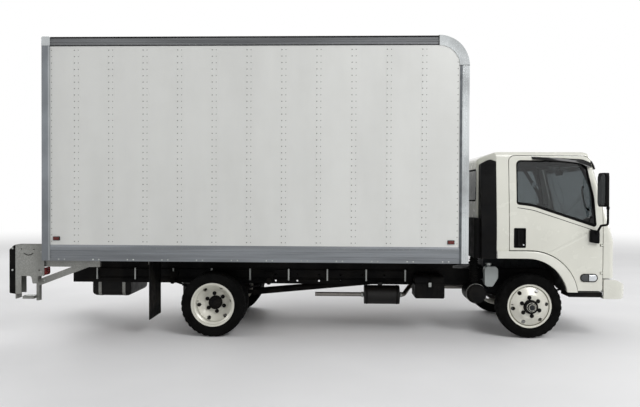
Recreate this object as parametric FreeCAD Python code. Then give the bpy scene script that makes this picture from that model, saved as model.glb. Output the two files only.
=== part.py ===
import FreeCAD, Part
import math
import os

# Box truck with a tilting cab over its engine and an aluminium van body.
# Millimetres. +X is forward, +Y is the driver's left, +Z is up, and the ground is at zero.
# The origin is on the ground, halfway between the front bumper and the rear dock bumpers.

# Overall sizes
WHEELBASE = 3810.0
FRONT_OVERHANG = 1126.0
REAR_OVERHANG = 2420.0
CAB_WIDTH = 2000.0
CAB_ROOF_Z = 2238.0
BOX_LENGTH = 5010.0
BOX_WIDTH = 2438.0
BOX_BOTTOM_Z = 922.0
BOX_TOP_Z = 3565.0
BOX_BEHIND_AXLE = 1995.0

# Wheels
TYRE_RADIUS = 385.0
TYRE_WIDTH = 215.0
RIM_RADIUS = 266.0
RIM_WIDTH = 168.0
BEAD_RADIUS = 248.0
RIM_WALL = 7.0
DISC_OFFSET = 115.0
DISC_THICKNESS = 10.0
HAND_HOLES = 6
HAND_HOLE_RADIUS = 24.0
HAND_HOLE_CIRCLE = 200.0
HAND_HOLE_TURN = 8.0
HAND_HOLE_START = 40.0
HUB_RADIUS = 80.0
FRONT_TRACK = 1664.0
REAR_MOUNT_Y = 826.0
SPINDLE_RADIUS = 30.0
REAR_SPINDLE_RADIUS = 42.0
REAR_HUB_REACH = 62.0
BEARING_CLEARANCE = 0.06
DRUM_RADIUS = 178.0

# Frame rails
RAIL_SPAN = 850.0
RAIL_HEIGHT = 216.0
RAIL_FLANGE = 65.0
RAIL_THICKNESS = 8.0
RAIL_BOTTOM_Z = 564.0
CROSS_MEMBERS = 5
CROSS_MEMBER_HEIGHT = 74.0
RAIL_FRONT = 915.0
FIRST_RAIL_HOLE = 700.0
RAIL_HOLE_PITCH = 280.0
RAIL_HOLE_RADIUS = 12.0
RAIL_HOLE_ROWS = (38.0, 118.0)
GEARBOX_REAR = -900.0

# Steering
KINGPIN_Y = 742.0
KINGPIN_RADIUS = 20.0
KINGPIN_EYE_HALF = 48.0
KNUCKLE_GAP = 1.0

# Cab, measured forward of the front axle
CAB_BACK = -610.0
CAB_FRONT = 978.0
CAB_ROOF_FRONT = 705.0
CAB_ROOF_REAR = -415.0
CAB_TAIL_Z = 2162.0
SCREEN_FOOT_Z = 1180.0
CAB_BELT_Z = 1330.0
CAB_TOP_LEAN = 75.0
CAB_ROOF_EDGE_RADIUS = 75.0
CAB_FRONT_CORNER = 90.0
CAB_CREASE = -413.0
CAB_TAIL_INSET = 165.0
CAB_TAIL_CORNER = 90.0
NOSE_BOTTOM_Z = 738.0
CAB_WALL = 45.0
CAB_LOW_Z = 400.0
DOOR_THICKNESS = 50.0
DOOR_REAR = -264.0
DOOR_FRONT = 827.0
DOOR_BOTTOM_Z = 587.0
DOOR_TOP_Z = 2188.0
DOOR_GAP = 8.0
ARCH_GAP = 10.0
ARCH_INNER_FRONT = 420.0
ARCH_INNER_TOP_Z = 969.0
ARCH_INNER_RADIUS = 480.0
ARCH_OUTER_FRONT = 542.0
ARCH_OUTER_TOP_Z = 1054.0
ARCH_OUTER_RADIUS = 560.0
ARCH_LIP = 30.0
STEP_TOP_Z = 570.0
GLASS_THICKNESS = 6.0
TILT_PIVOT_X = 1000.0
TILT_PIVOT_Z = 660.0
TILT_PIN_RADIUS = 15.0
BUMPER_BACK = 840.0
BUMPER_LOW_Z = 495.0
BUMPER_HIGH_Z = 725.0
BUMPER_WALL = 30.0
BUMPER_LIP = 84.0
BUMPER_PAD = 50.0
SEAT_FLOOR_Z = 1080.0
DOOR_HINGE_BEHIND_EDGE = 15.0
DOOR_HINGE_INSET = 8.0
DOOR_HINGES_Z = (800.0, 1130.0)
DOOR_PIN_RADIUS = 5.0

# Van body
WALL_THICKNESS = 38.0
WALL_INSET = 8.0
RAIL_DEPTH = 50.0
BOTTOM_RAIL_HEIGHT = 190.0
TOP_RAIL_HEIGHT = 116.0
REAR_POST_WIDTH = 99.0
FRONT_POST_WIDTH = 109.0
FRONT_POST_DEPTH = 80.0
CORNER_RADIUS = 351.0
CASTING_HEIGHT = 349.0
SILL_HEIGHT = 100.0
BOARD_THICKNESS = 35.0
CROSS_SILLS = 12
DOOR_PANELS = 9
SEAT_GAP = 0.3

# Rear step
DOCK_PAD = 78.0
STEP_PLATE_LOW_Z = 731.0
STEP_PLATE_HIGH_Z = 1106.0
STEP_PLATE_THICKNESS = 10.0
STEP_INSET = 70.0
STEP_TREAD_Z = 458.0
STEP_COLUMN_REAR = 127.0
STEP_COLUMN_FRONT = 91.0
STEP_INNER_Z = 835.0
STEP_TREAD = 135.0

# Places worked out from the sizes above
FRONT_AXLE_X = (WHEELBASE + REAR_OVERHANG - FRONT_OVERHANG) / 2
REAR_AXLE_X = FRONT_AXLE_X - WHEELBASE
FRONT_X = FRONT_AXLE_X + FRONT_OVERHANG
REAR_X = REAR_AXLE_X - REAR_OVERHANG
AXLE_Z = TYRE_RADIUS
RAIL_TOP_Z = RAIL_BOTTOM_Z + RAIL_HEIGHT
BOX_REAR_X = REAR_AXLE_X - BOX_BEHIND_AXLE
BOX_FRONT_X = BOX_REAR_X + BOX_LENGTH
BOX_SIDE_Y = BOX_WIDTH / 2
ROOF_FOOT_Z = BOX_TOP_Z - CORNER_RADIUS - 12
CAB_SIDE_Y = CAB_WIDTH / 2
FLOOR_Z = BOX_BOTTOM_Z + SILL_HEIGHT + BOARD_THICKNESS
RAIL_INSIDE_Y = BOX_SIDE_Y - RAIL_DEPTH

V = FreeCAD.Vector
ORIGIN = V(0, 0, 0)
ALONG_X = V(1, 0, 0)
ALONG_Y = V(0, 1, 0)
ALONG_Z = V(0, 0, 1)
COLUMN_LEAN = math.radians(31.9)
COLUMN_WAY = V(-math.sin(COLUMN_LEAN), 0, math.cos(COLUMN_LEAN))
WHEEL_CENTRE = V(FRONT_AXLE_X + 430, CAB_SIDE_Y * 0.42, 1480)


def outline(points, place):
    """Closed wire through (a, b) or (a, b, radius) points, where place gives the 3-D point."""
    count = len(points)
    flat = [V(p[0], p[1], 0) for p in points]
    edges = []
    corners = []
    for i in range(count):
        radius = points[i][2] if len(points[i]) > 2 else 0
        if radius <= 0:
            corners.append((flat[i], None, flat[i]))
            continue
        back = (flat[i - 1] - flat[i]).normalize()
        ahead = (flat[(i + 1) % count] - flat[i]).normalize()
        half = math.acos(max(-1, min(1, back.dot(ahead)))) / 2
        inward = (back + ahead).normalize()
        centre = flat[i] + inward * (radius / math.sin(half))
        reach = radius / math.tan(half)
        corners.append((flat[i] + back * reach, centre - inward * radius, flat[i] + ahead * reach))
    for i in range(count):
        start, middle, end = corners[i]
        following = corners[(i + 1) % count][0]
        if middle is not None:
            arc = [place(p.x, p.y) for p in (start, middle, end)]
            edges.append(Part.Arc(arc[0], arc[1], arc[2]).toShape())
        if (following - end).Length > 1e-6:
            edges.append(Part.LineSegment(place(end.x, end.y), place(following.x, following.y)).toShape())
    return Part.Wire(edges)


def shrunk(wire, inset):
    """The same flat wire moved inward all round."""
    if inset == 0:
        return wire
    return wire.makeOffset2D(-inset)


def prism_y(points, y0, y1, inset=0):
    """Outline of (x, z) points carried from y0 to y1."""
    wire = outline(points, lambda a, b: V(a, y0, b))
    return Part.Face(shrunk(wire, inset)).extrude(V(0, y1 - y0, 0))


def prism_x(points, x0, x1, inset=0):
    """Outline of (y, z) points carried from x0 to x1."""
    wire = outline(points, lambda a, b: V(x0, a, b))
    return Part.Face(shrunk(wire, inset)).extrude(V(x1 - x0, 0, 0))


def prism_z(points, z0, z1, inset=0):
    """Outline of (x, y) points carried from z0 to z1."""
    wire = outline(points, lambda a, b: V(a, b, z0))
    return Part.Face(shrunk(wire, inset)).extrude(V(0, 0, z1 - z0))


def block(x0, x1, y0, y1, z0, z1):
    """Plain block between two corners."""
    return Part.makeBox(x1 - x0, y1 - y0, z1 - z0, V(x0, y0, z0))


def rod(start, end, radius):
    """Round bar between two points."""
    return Part.makeCylinder(radius, (end - start).Length, start, end - start)


def bent_tube(points, radius, bend):
    """Round tube along straight runs joined by arcs of one bend radius."""
    edges = []
    start = points[0]
    for i in range(1, len(points) - 1):
        back = (points[i - 1] - points[i]).normalize()
        onward = (points[i + 1] - points[i]).normalize()
        half = math.acos(back.dot(onward)) / 2
        inward = (back + onward).normalize()
        reach = bend / math.tan(half)
        middle = points[i] + inward * (bend / math.sin(half) - bend)
        first = points[i] + back * reach
        last = points[i] + onward * reach
        edges.append(Part.LineSegment(start, first).toShape())
        edges.append(Part.Arc(first, middle, last).toShape())
        start = last
    edges.append(Part.LineSegment(start, points[-1]).toShape())
    ring = Part.Wire(Part.Circle(points[0], points[1] - points[0], radius).toShape())
    return Part.Wire(edges).makePipeShell([ring], True, True)


def turned(profile, centre, outward):
    """Solid turned about a Y axis through centre from (distance outward, radius) points."""
    points = [V(centre.x, centre.y + outward * p[0], centre.z + p[1]) for p in profile]
    face = Part.Face(Part.makePolygon(points + [points[0]]))
    return face.revolve(centre, ALONG_Y, 360)


def fused(shapes):
    """One solid from pieces that share faces or volume."""
    first = shapes[0]
    return first.multiFuse(shapes[1:]).removeSplitter()


def mirrored(shape):
    """The same shape on the other side of the truck."""
    return shape.mirror(ORIGIN, ALONG_Y)


def pair(shape):
    """A piece and its twin on the other side."""
    return [shape, mirrored(shape)]


def export(name, shapes):
    """Write one node; a list becomes separate solids in it."""
    if isinstance(shapes, list):
        solids = [solid for shape in shapes for solid in shape.Solids]
        shape = Part.makeCompound(solids)
    else:
        shape = shapes
    shape.exportStep("parts/" + name + ".step")


def ahead(x):
    """Place along the truck, measured forward of the front axle."""
    return FRONT_AXLE_X + x


# Chassis

def rail_section(side):
    """Channel section of one frame rail, web outward, as (y, z) points."""
    web = side * RAIL_SPAN / 2
    inner = side * (RAIL_SPAN / 2 - RAIL_THICKNESS)
    tip = side * (RAIL_SPAN / 2 - RAIL_FLANGE)
    low = RAIL_BOTTOM_Z
    high = RAIL_TOP_Z
    thick = RAIL_THICKNESS
    return [(web, low), (tip, low), (tip, low + thick), (inner, low + thick),
            (inner, high - thick), (tip, high - thick), (tip, high), (web, high)]


def chassis_frame():
    """Two channel rails, their cross members, the bumper irons and the cab pivot lugs."""
    front = ahead(RAIL_FRONT)
    rear = BOX_REAR_X + 40
    pieces = [prism_x(rail_section(side), rear, front) for side in (-1, 1)]
    reach = RAIL_SPAN / 2 - RAIL_THICKNESS
    first = rear + 60
    step = (ahead(GEARBOX_REAR) - 130 - first) / (CROSS_MEMBERS - 1)
    places = [first + i * step for i in range(CROSS_MEMBERS)] + [front - 190]
    for x in places:
        high = RAIL_TOP_Z - RAIL_THICKNESS
        low = high - CROSS_MEMBER_HEIGHT
        web = [(x, low), (x + 60, low), (x + 60, low + 8), (x + 8, low + 8),
               (x + 8, high - 8), (x + 60, high - 8), (x + 60, high), (x, high)]
        pieces.append(prism_y(web, -reach, reach))
    for side in (-1, 1):
        outer = side * RAIL_SPAN / 2
        iron = sorted([outer, outer - side * 20])
        pieces.append(block(front, FRONT_X - BUMPER_PAD, iron[0], iron[1], RAIL_BOTTOM_Z + 6, RAIL_BOTTOM_Z + 56))
        lug = sorted([outer, outer + side * 30])
        nose = ahead(TILT_PIVOT_X) + 30
        pieces.append(prism_y([(front - 90, 600), (nose, TILT_PIVOT_Z - 30, 30), (nose, TILT_PIVOT_Z + 30, 30),
                               (front - 90, 712)], lug[0], lug[1]))
        pin = sorted([outer + side * 5, outer + side * 100])
        pieces.append(rod(V(ahead(TILT_PIVOT_X), pin[0], TILT_PIVOT_Z),
                          V(ahead(TILT_PIVOT_X), pin[1], TILT_PIVOT_Z), TILT_PIN_RADIUS))
    frame = fused(pieces)
    holes = []
    for side in (-1, 1):
        for row in RAIL_HOLE_ROWS:
            for i in range(6):
                z = RAIL_BOTTOM_Z + row
                x = REAR_AXLE_X + FIRST_RAIL_HOLE + i * RAIL_HOLE_PITCH
                web = side * RAIL_SPAN / 2
                holes.append(rod(V(x, web - 20, z), V(x, web + 20, z), RAIL_HOLE_RADIUS))
    return frame.cut(holes)


def leaf_spring(centre_x, y, seat_z, eye_z, half_length, width, hanger_y0, hanger_y1):
    """One pack of four curved leaves with its eyes and hangers."""
    sag = eye_z - seat_z
    radius = (half_length ** 2 + sag ** 2) / (2 * sag)
    thickness = 11.0
    pieces = []
    for leaf in range(4):
        length = half_length * (1 - 0.2 * leaf)
        inner = radius + leaf * thickness
        outer = inner + thickness
        centre_z = seat_z + radius
        angle = math.asin(length / inner)
        low = V(0, 0, centre_z)

        def at(r, a):
            return V(centre_x + r * math.sin(a), y - width / 2, low.z - r * math.cos(a))

        edges = [Part.Arc(at(inner, -angle), at(inner, 0), at(inner, angle)).toShape(),
                 Part.LineSegment(at(inner, angle), at(outer, angle)).toShape(),
                 Part.Arc(at(outer, angle), at(outer, 0), at(outer, -angle)).toShape(),
                 Part.LineSegment(at(outer, -angle), at(inner, -angle)).toShape()]
        pieces.append(Part.Face(Part.Wire(edges)).extrude(V(0, width, 0)))
    for end in (-1, 1):
        eye = V(centre_x + end * half_length, y - width / 2, eye_z)
        pieces.append(rod(eye, eye + V(0, width, 0), 24))
        pin = V(eye.x, min(hanger_y0, y - width / 2), eye_z)
        far = V(eye.x, max(hanger_y1, y + width / 2), eye_z)
        pieces.append(rod(pin, far, 12))
    return pieces


def leaf_springs():
    """Four leaf packs with hangers: front ones under the rails, rear ones outside them."""
    result = []
    outer = RAIL_SPAN / 2
    front_y = outer - 33
    front = leaf_spring(FRONT_AXLE_X, front_y, AXLE_Z + 50, RAIL_BOTTOM_Z - 34, 560, 64, front_y - 42, front_y + 42)
    for end in (-1, 1):
        x = FRONT_AXLE_X + end * 560
        front.append(block(x - 60, x + 60, front_y - 42, front_y + 42, RAIL_BOTTOM_Z - 8, RAIL_BOTTOM_Z))
        for y in (front_y - 42, front_y + 34):
            front.append(prism_y([(x - 60, RAIL_BOTTOM_Z), (x - 26, RAIL_BOTTOM_Z - 60, 10),
                                  (x + 26, RAIL_BOTTOM_Z - 60, 10), (x + 60, RAIL_BOTTOM_Z)], y, y + 8))
    rear_y = outer + 70
    rear = leaf_spring(REAR_AXLE_X, rear_y, AXLE_Z + 110, RAIL_BOTTOM_Z + 40, 620, 64, outer, rear_y + 44)
    for end in (-1, 1):
        x = REAR_AXLE_X + end * 620
        rear.append(prism_y([(x - 60, RAIL_BOTTOM_Z + 150), (x - 26, RAIL_BOTTOM_Z, 20),
                             (x + 26, RAIL_BOTTOM_Z, 20), (x + 60, RAIL_BOTTOM_Z + 150)], outer, outer + 34))
        rear.append(prism_y([(x - 26, RAIL_BOTTOM_Z + 80, 20), (x - 26, RAIL_BOTTOM_Z, 20),
                             (x + 26, RAIL_BOTTOM_Z, 20), (x + 26, RAIL_BOTTOM_Z + 80, 20)], rear_y + 34, rear_y + 44))
    for pieces in (front, rear):
        result += pair(fused(pieces))
    return result


def front_axle():
    """Forged beam that drops in the middle, with an eye for each kingpin and spring pads."""
    half = KINGPIN_Y
    top = AXLE_Z
    beam = [(-half, top + 34), (-half + 60, top + 34, 60), (-470, top - 5, 80), (470, top - 5, 80),
            (half - 60, top + 34, 60), (half, top + 34), (half, top - 34), (half - 60, top - 34, 60),
            (470, top - 85, 80), (-470, top - 85, 80), (-half + 60, top - 34, 60), (-half, top - 34)]
    web = prism_x(beam, FRONT_AXLE_X - 38, FRONT_AXLE_X + 38)
    pieces = [web]
    for side in (-1, 1):
        y = side * (RAIL_SPAN / 2 - 33)
        pieces.append(block(FRONT_AXLE_X - 60, FRONT_AXLE_X + 60, y - 40, y + 40, top - 20, top + 6))
        eye = V(FRONT_AXLE_X, side * half, AXLE_Z - KINGPIN_EYE_HALF)
        pieces.append(rod(eye, eye + V(0, 0, 2 * KINGPIN_EYE_HALF), 40))
    axle = fused(pieces)
    for side in (-1, 1):
        for face in (-1, 1):
            x = sorted([FRONT_AXLE_X + face * 14, FRONT_AXLE_X + face * 60])
            axle = axle.cut(prism_x([(side * 60, top - 68, 12), (side * 60, top - 22, 12), (side * 330, top - 22, 12),
                                     (side * 330, top - 68, 12)], x[0], x[1]))
        eye = V(FRONT_AXLE_X, side * half, 0)
        axle = axle.cut(rod(eye, eye + V(0, 0, 1000), KINGPIN_RADIUS + BEARING_CLEARANCE))
    return axle


def rear_axle():
    """Banjo housing with its nose, tubes, spring seats and spindles."""
    tip = REAR_MOUNT_Y + REAR_HUB_REACH - 14
    profile = [(-tip, 0), (-tip, REAR_SPINDLE_RADIUS), (-640, REAR_SPINDLE_RADIUS), (-640, 62), (-240, 62),
               (-130, 150), (130, 150), (240, 62), (640, 62), (640, REAR_SPINDLE_RADIUS), (tip, REAR_SPINDLE_RADIUS),
               (tip, 0)]
    centre = V(REAR_AXLE_X, 0, AXLE_Z)
    pieces = [turned(profile, centre, 1)]
    pieces.append(Part.makeCone(110, 60, 260, centre, ALONG_X))
    for side in (-1, 1):
        y = side * (RAIL_SPAN / 2 + 70)
        pieces.append(block(REAR_AXLE_X - 55, REAR_AXLE_X + 55, y - 40, y + 40, AXLE_Z + 20, AXLE_Z + 66))
    return fused(pieces)


def engine():
    """Engine and gearbox as one plain casting under the cab."""
    sump = AXLE_Z + 45
    body = prism_y([(ahead(-420), sump + 40, 30), (ahead(-420), 900, 40), (ahead(-300), 1010, 40),
                    (ahead(240), 1010, 40), (ahead(300), 900, 40), (ahead(300), sump + 90, 40),
                    (ahead(120), sump + 40, 40), (ahead(100), sump, 20), (ahead(-300), sump, 20)], -300, 300)
    box = prism_y([(ahead(GEARBOX_REAR), 560, 20), (ahead(GEARBOX_REAR), 720, 20), (ahead(-420), 800),
                   (ahead(-420), 500)], -150, 150)
    return fused([body, box])


def propshaft():
    """Tube with yokes from the gearbox to the axle nose."""
    start = V(ahead(GEARBOX_REAR), 0, 640)
    end = V(REAR_AXLE_X + 260, 0, AXLE_Z)
    way = (end - start).normalize()
    tube = rod(start + way * 90, end - way * 90, 45)
    neck = rod(start, start + way * 120, 26)
    tail = rod(end - way * 120, end, 26)
    flange = rod(start, start + way * 14, 60)
    last = rod(end - way * 14, end, 60)
    return fused([tube, neck, tail, flange, last]).cut(engine()).cut(rear_axle())


def fuel_tank():
    """Rounded tank between the rails behind the rear axle."""
    x0 = REAR_AXLE_X - 1727
    x1 = REAR_AXLE_X - 1220
    wide = RAIL_SPAN / 2 - RAIL_FLANGE - 12
    shelf = RAIL_BOTTOM_Z + RAIL_THICKNESS
    reach = RAIL_SPAN / 2 - RAIL_THICKNESS
    section = prism_x([(-wide, 371, 60), (-wide, 640, 60), (wide, 640, 60), (wide, 371, 60)], x0, x1)
    pieces = [section.common(prism_y([(x0, 371, 60), (x0, 640, 20), (x1, 640, 20), (x1, 371, 60)], -wide - 10, wide + 10))]
    for x in (x0 + 70, x1 - 120):
        pieces.append(block(x, x + 50, -reach, reach, shelf, shelf + 30))
    return fused(pieces)


def battery_box():
    """Covered box hung outside the right rail."""
    x0 = ahead(-1356)
    x1 = ahead(-992)
    outer = RAIL_SPAN / 2
    near = -outer - 340
    far = -outer - 20
    tray = prism_y([(x0, 442, 20), (x1, 442, 20), (x1, 606), (x0, 606)], near, far)
    lip = prism_z([(x0 - 8, near - 8, 14), (x1 + 8, near - 8, 14), (x1 + 8, far + 8, 14), (x0 - 8, far + 8, 14)], 606, 624)
    cover = prism_x([(near + 4, 624), (near + 4, 734, 60), (far - 4, 734, 60), (far - 4, 624)], x0 + 6, x1 - 6)
    cover = cover.common(prism_y([(x0 + 6, 624), (x0 + 6, 734, 45), (x1 - 6, 734, 45), (x1 - 6, 624)], near, far))
    arm = block(x0 + 60, x1 - 60, -outer - 30, -outer, 566, 600)
    return fused([tray, lip, cover, arm])


def coolant_bottle():
    """Filler bottle on a bracket between the right rail and the front wheel, behind the cab."""
    outer = RAIL_SPAN / 2
    bottle = prism_y([(ahead(-498), 595, 40), (ahead(-498), 841, 45), (ahead(-338), 841, 50), (ahead(-338), 700, 60),
                      (ahead(-402), 595, 30)], -outer - 330, -outer - 215)
    neck = rod(V(ahead(-440), -outer - 272, 836), V(ahead(-440), -outer - 272, 858), 26)
    cap = rod(V(ahead(-440), -outer - 272, 858), V(ahead(-440), -outer - 272, 880), 34)
    bracket = block(ahead(-478), ahead(-430), -outer - 220, -outer, 640, 650)
    ear = block(ahead(-478), ahead(-430), -outer - 222, -outer - 215, 640, 700)
    return fused([bottle, neck, cap, bracket, ear])


def air_cleaner():
    """Canister lying across the truck outside the right rail, with the duct to the cab's air intake."""
    centre = V(ahead(-605), -RAIL_SPAN / 2 - 30, 506)
    can = rod(centre, centre + V(0, -330, 0), 118)
    cap = rod(centre + V(0, -330, 0), centre + V(0, -352, 0), 98)
    arm = block(centre.x - 30, centre.x + 30, -RAIL_SPAN / 2 - 30, -RAIL_SPAN / 2, RAIL_BOTTOM_Z + 12, 640)
    saddle = block(centre.x - 30, centre.x + 30, -RAIL_SPAN / 2 - 30, -RAIL_SPAN / 2 - 22, 500, 640)
    return fused([can, cap, arm, saddle])


def exhaust():
    """Silencer drum beside the right rail with its down pipe and tail pipe."""
    y = -RAIL_SPAN / 2 - 135
    z = 455
    x0 = REAR_AXLE_X + 1836
    x1 = REAR_AXLE_X + 2280
    drum = rod(V(x0, y, z), V(x1, y, z), 118)
    route = [V(x1, y, z), V(x1 + 55, y, z), V(x1 + 165, -250, 520), V(ahead(-420), -250, 520)]
    pipe = bent_tube(route, 28, 60)
    tail = rod(V(x0 - 620, y, z), V(x0, y, z), 26)
    hanger = block(x0 + 180, x0 + 230, y, -RAIL_SPAN / 2, z + 100, z + 150)
    return fused([drum, pipe, tail, hanger])


def front_bumper():
    """Wrapped steel bumper with a crowned nose, open at the back and along its middle."""
    back = ahead(BUMPER_BACK)
    wide = CAB_SIDE_Y + 4
    wall = BUMPER_WALL
    low = BUMPER_LOW_Z
    high = BUMPER_HIGH_Z
    plan = [(back, -wide), (FRONT_X, -wide, 150), (FRONT_X, wide, 150), (back, wide)]
    nose = [(back, low), (back, high), (ahead(990), high - 8, 100), (FRONT_X, high - 74, 62),
            (FRONT_X, low + 66, 62), (FRONT_X - 56, low, 50)]
    skin = prism_z(plan, low - 50, high + 50).common(prism_y(nose, -wide - 10, wide + 10))
    hollow = prism_z(plan, low - 50, high + 50, wall).common(prism_y(nose, -wide - 10, wide + 10, wall))
    mouth = block(back - 10, back + wall + 10, -wide + wall, wide - wall, low + wall, high - wall)
    throat_plan = [(back - 50, -wide + BUMPER_LIP), (FRONT_X - BUMPER_LIP, -wide + BUMPER_LIP, 66),
                   (FRONT_X - BUMPER_LIP, wide - BUMPER_LIP, 66), (back - 50, wide - BUMPER_LIP)]
    throat = prism_z(throat_plan, low - 60, high + 60)
    intake = prism_x([(-430, 560, 20), (-430, 632, 20), (430, 632, 20), (430, 560, 20)], FRONT_X - 14, FRONT_X + 10)
    pieces = [skin.cut([hollow, mouth, throat, intake])]
    for side in (-1, 1):
        pad = sorted([side * (RAIL_SPAN / 2 + 10), side * (RAIL_SPAN / 2 - 30)])
        pieces.append(block(FRONT_X - BUMPER_PAD, FRONT_X - 20, pad[0], pad[1], RAIL_BOTTOM_Z + 2, RAIL_BOTTOM_Z + 60))
    return fused(pieces)


def mudflaps():
    """Rubber flap behind each pair of rear wheels, with its hanger."""
    x = REAR_AXLE_X - 763
    sill = min(sill_x(i) for i in range(CROSS_SILLS) if sill_x(i) > x)
    flap = block(x, x + 10, 590, 1060, 201, BOX_BOTTOM_Z)
    hanger = block(x, sill + 50, 590, 1060, BOX_BOTTOM_Z - 8, BOX_BOTTOM_Z)
    return pair(flap.fuse(hanger))


def flat_bar(start, end, depth, y0, y1):
    """Flat bar on edge between two (x, z) points."""
    length = math.hypot(end[0] - start[0], end[1] - start[1])
    across = (start[1] - end[1]) / length * depth / 2
    up = (end[0] - start[0]) / length * depth / 2
    return prism_y([(start[0] - across, start[1] - up), (start[0] + across, start[1] + up),
                    (end[0] + across, end[1] + up), (end[0] - across, end[1] - up)], y0, y1)


def rear_step():
    """Galvanised step and dock bumper frame below the rear door."""
    front = REAR_X + DOCK_PAD
    side_y = BOX_SIDE_Y - STEP_INSET
    thick = STEP_PLATE_THICKNESS
    column_rear = BOX_REAR_X - STEP_COLUMN_REAR
    column_front = BOX_REAR_X - STEP_COLUMN_FRONT
    low = STEP_PLATE_LOW_Z
    high = STEP_PLATE_HIGH_Z
    holes = []
    pieces = []
    for side in (-1, 1):
        plate = sorted([side * side_y, side * (side_y + thick)])
        pieces.append(prism_y([(front, low), (front, high, 14), (BOX_REAR_X, high), (BOX_REAR_X, low),
                               (column_front + 12, low, 20), (column_front + 12, low - 90, 10),
                               (column_rear - 12, low - 90, 10), (column_rear - 30, low, 30)], plate[0], plate[1]))
        inner = sorted([side * (side_y - 120), side * (side_y - 120 + thick)])
        pieces.append(block(front, BOX_REAR_X, inner[0], inner[1], STEP_INNER_Z, high))
        middle = BOX_REAR_X - 188
        bow = 73.0
        arc = rod(V(middle, plate[0] - 5, 1054), V(middle, plate[1] + 5, 1054), bow + 6).cut(
            rod(V(middle, plate[0] - 5, 1054), V(middle, plate[1] + 5, 1054), bow - 6))
        holes.append(arc.common(block(middle - 100, middle + 100, plate[0] - 5, plate[1] + 5, 900, 1008)))
        for x, z in ((BOX_REAR_X - 273, 1052), (BOX_REAR_X - 122, 1048), (BOX_REAR_X - 60, 800)):
            holes.append(rod(V(x, plate[0] - 5, z), V(x, plate[1] + 5, z), 9))
        post = sorted([side * (side_y - 120), side * (side_y + thick)])
        pieces.append(block(front, front + 12, post[0], post[1], STEP_TREAD_Z, high))
        pieces.append(block(front, front + 70, post[0], post[0] + thick, 518, high))
        pieces.append(block(front, front + 70, post[1] - thick, post[1], 518, high))
        column = sorted([side * (side_y - 120), side * (side_y - 60)])
        pieces.append(block(column_rear, column_front, column[0], column[1], STEP_TREAD_Z - 29, BOX_BOTTOM_Z))
        pieces.append(block(column_rear - STEP_TREAD, column_rear, post[0], post[1], STEP_TREAD_Z, STEP_TREAD_Z + 32))
        channel = sorted([side * (side_y - 60), side * (side_y - 20)])
        pieces.append(block(column_rear, REAR_AXLE_X - 1331, channel[0], channel[1], 841, BOX_BOTTOM_Z))
        brace = sorted([side * (side_y - 66), side * (side_y - 56)])
        pieces.append(flat_bar((column_rear + 18, 640), (REAR_AXLE_X - 1500, 868), 75, brace[0], brace[1]))
    return fused(pieces).cut(holes)


def dock_bumpers():
    """Rubber block on each rear post, chamfered at the top."""
    side_y = BOX_SIDE_Y - STEP_INSET
    front = REAR_X + DOCK_PAD
    shape = prism_y([(REAR_X, 524, 15), (REAR_X, 1046, 15), (REAR_X + 58, 1098, 8), (front, 1098), (front, 512)],
                    side_y - 110, side_y)
    return pair(shape)


def tail_lamps():
    """Lamp pod hung below the side channel at each rear corner."""
    x = BOX_REAR_X - 70
    return pair(prism_x([(950, 733, 30), (950, 825, 30), (1125, 825, 30), (1125, 733, 30)], x, x + 49).fuse(
        block(x + 10, x + 40, 1092, 1122, 815, 841)))


# Van body

def sill_x(index):
    """Rear face of one cross sill, counted from the rear."""
    first = BOX_REAR_X + REAR_POST_WIDTH + 30
    room = BOX_LENGTH - REAR_POST_WIDTH - WALL_THICKNESS - 120
    return first + index * room / (CROSS_SILLS - 1)


def floor_sills():
    """Two long sills on the frame rails and a row of cross sills on top of them."""
    pieces = []
    y = RAIL_SPAN / 2 - RAIL_FLANGE / 2
    for side in (-1, 1):
        pieces.append(block(BOX_REAR_X + REAR_POST_WIDTH, BOX_FRONT_X - WALL_THICKNESS, side * y - 30, side * y + 30,
                            RAIL_TOP_Z, BOX_BOTTOM_Z))
    for i in range(CROSS_SILLS):
        x = sill_x(i)
        low = BOX_BOTTOM_Z
        high = BOX_BOTTOM_Z + SILL_HEIGHT
        section = [(x, low), (x + 50, low), (x + 50, low + 8), (x + 29, low + 8), (x + 29, high - 8),
                   (x + 50, high - 8), (x + 50, high), (x, high), (x, high - 8), (x + 21, high - 8),
                   (x + 21, low + 8), (x, low + 8)]
        pieces.append(prism_y(section, -RAIL_INSIDE_Y, RAIL_INSIDE_Y))
    return fused(pieces)


def load_floor():
    """Hardwood floor on the cross sills."""
    boards = block(BOX_REAR_X + REAR_POST_WIDTH, BOX_FRONT_X - WALL_THICKNESS, -RAIL_INSIDE_Y, RAIL_INSIDE_Y,
                   FLOOR_Z - BOARD_THICKNESS, FLOOR_Z)
    return boards.cut(front_posts())


def wall_outline():
    """Side wall outline inside its rails and posts, as (x, z) points."""
    front = BOX_FRONT_X - FRONT_POST_WIDTH
    top = BOX_TOP_Z - TOP_RAIL_HEIGHT
    low = BOX_BOTTOM_Z + BOTTOM_RAIL_HEIGHT
    rear = BOX_REAR_X + REAR_POST_WIDTH
    return [(rear, low), (rear, top), (front, top, CORNER_RADIUS - FRONT_POST_WIDTH), (front, low)]


def side_walls():
    """Right and left walls of sheet on posts, taken at full thickness."""
    outer = BOX_SIDE_Y - WALL_INSET
    return pair(prism_y(wall_outline(), -outer, -outer + WALL_THICKNESS))


def front_wall():
    """Nose wall between the front posts, up to the curved roof nose."""
    wide = BOX_SIDE_Y - FRONT_POST_DEPTH
    return block(BOX_FRONT_X - WALL_THICKNESS, BOX_FRONT_X - 4, -wide, wide, BOX_BOTTOM_Z, ROOF_FOOT_Z)


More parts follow.
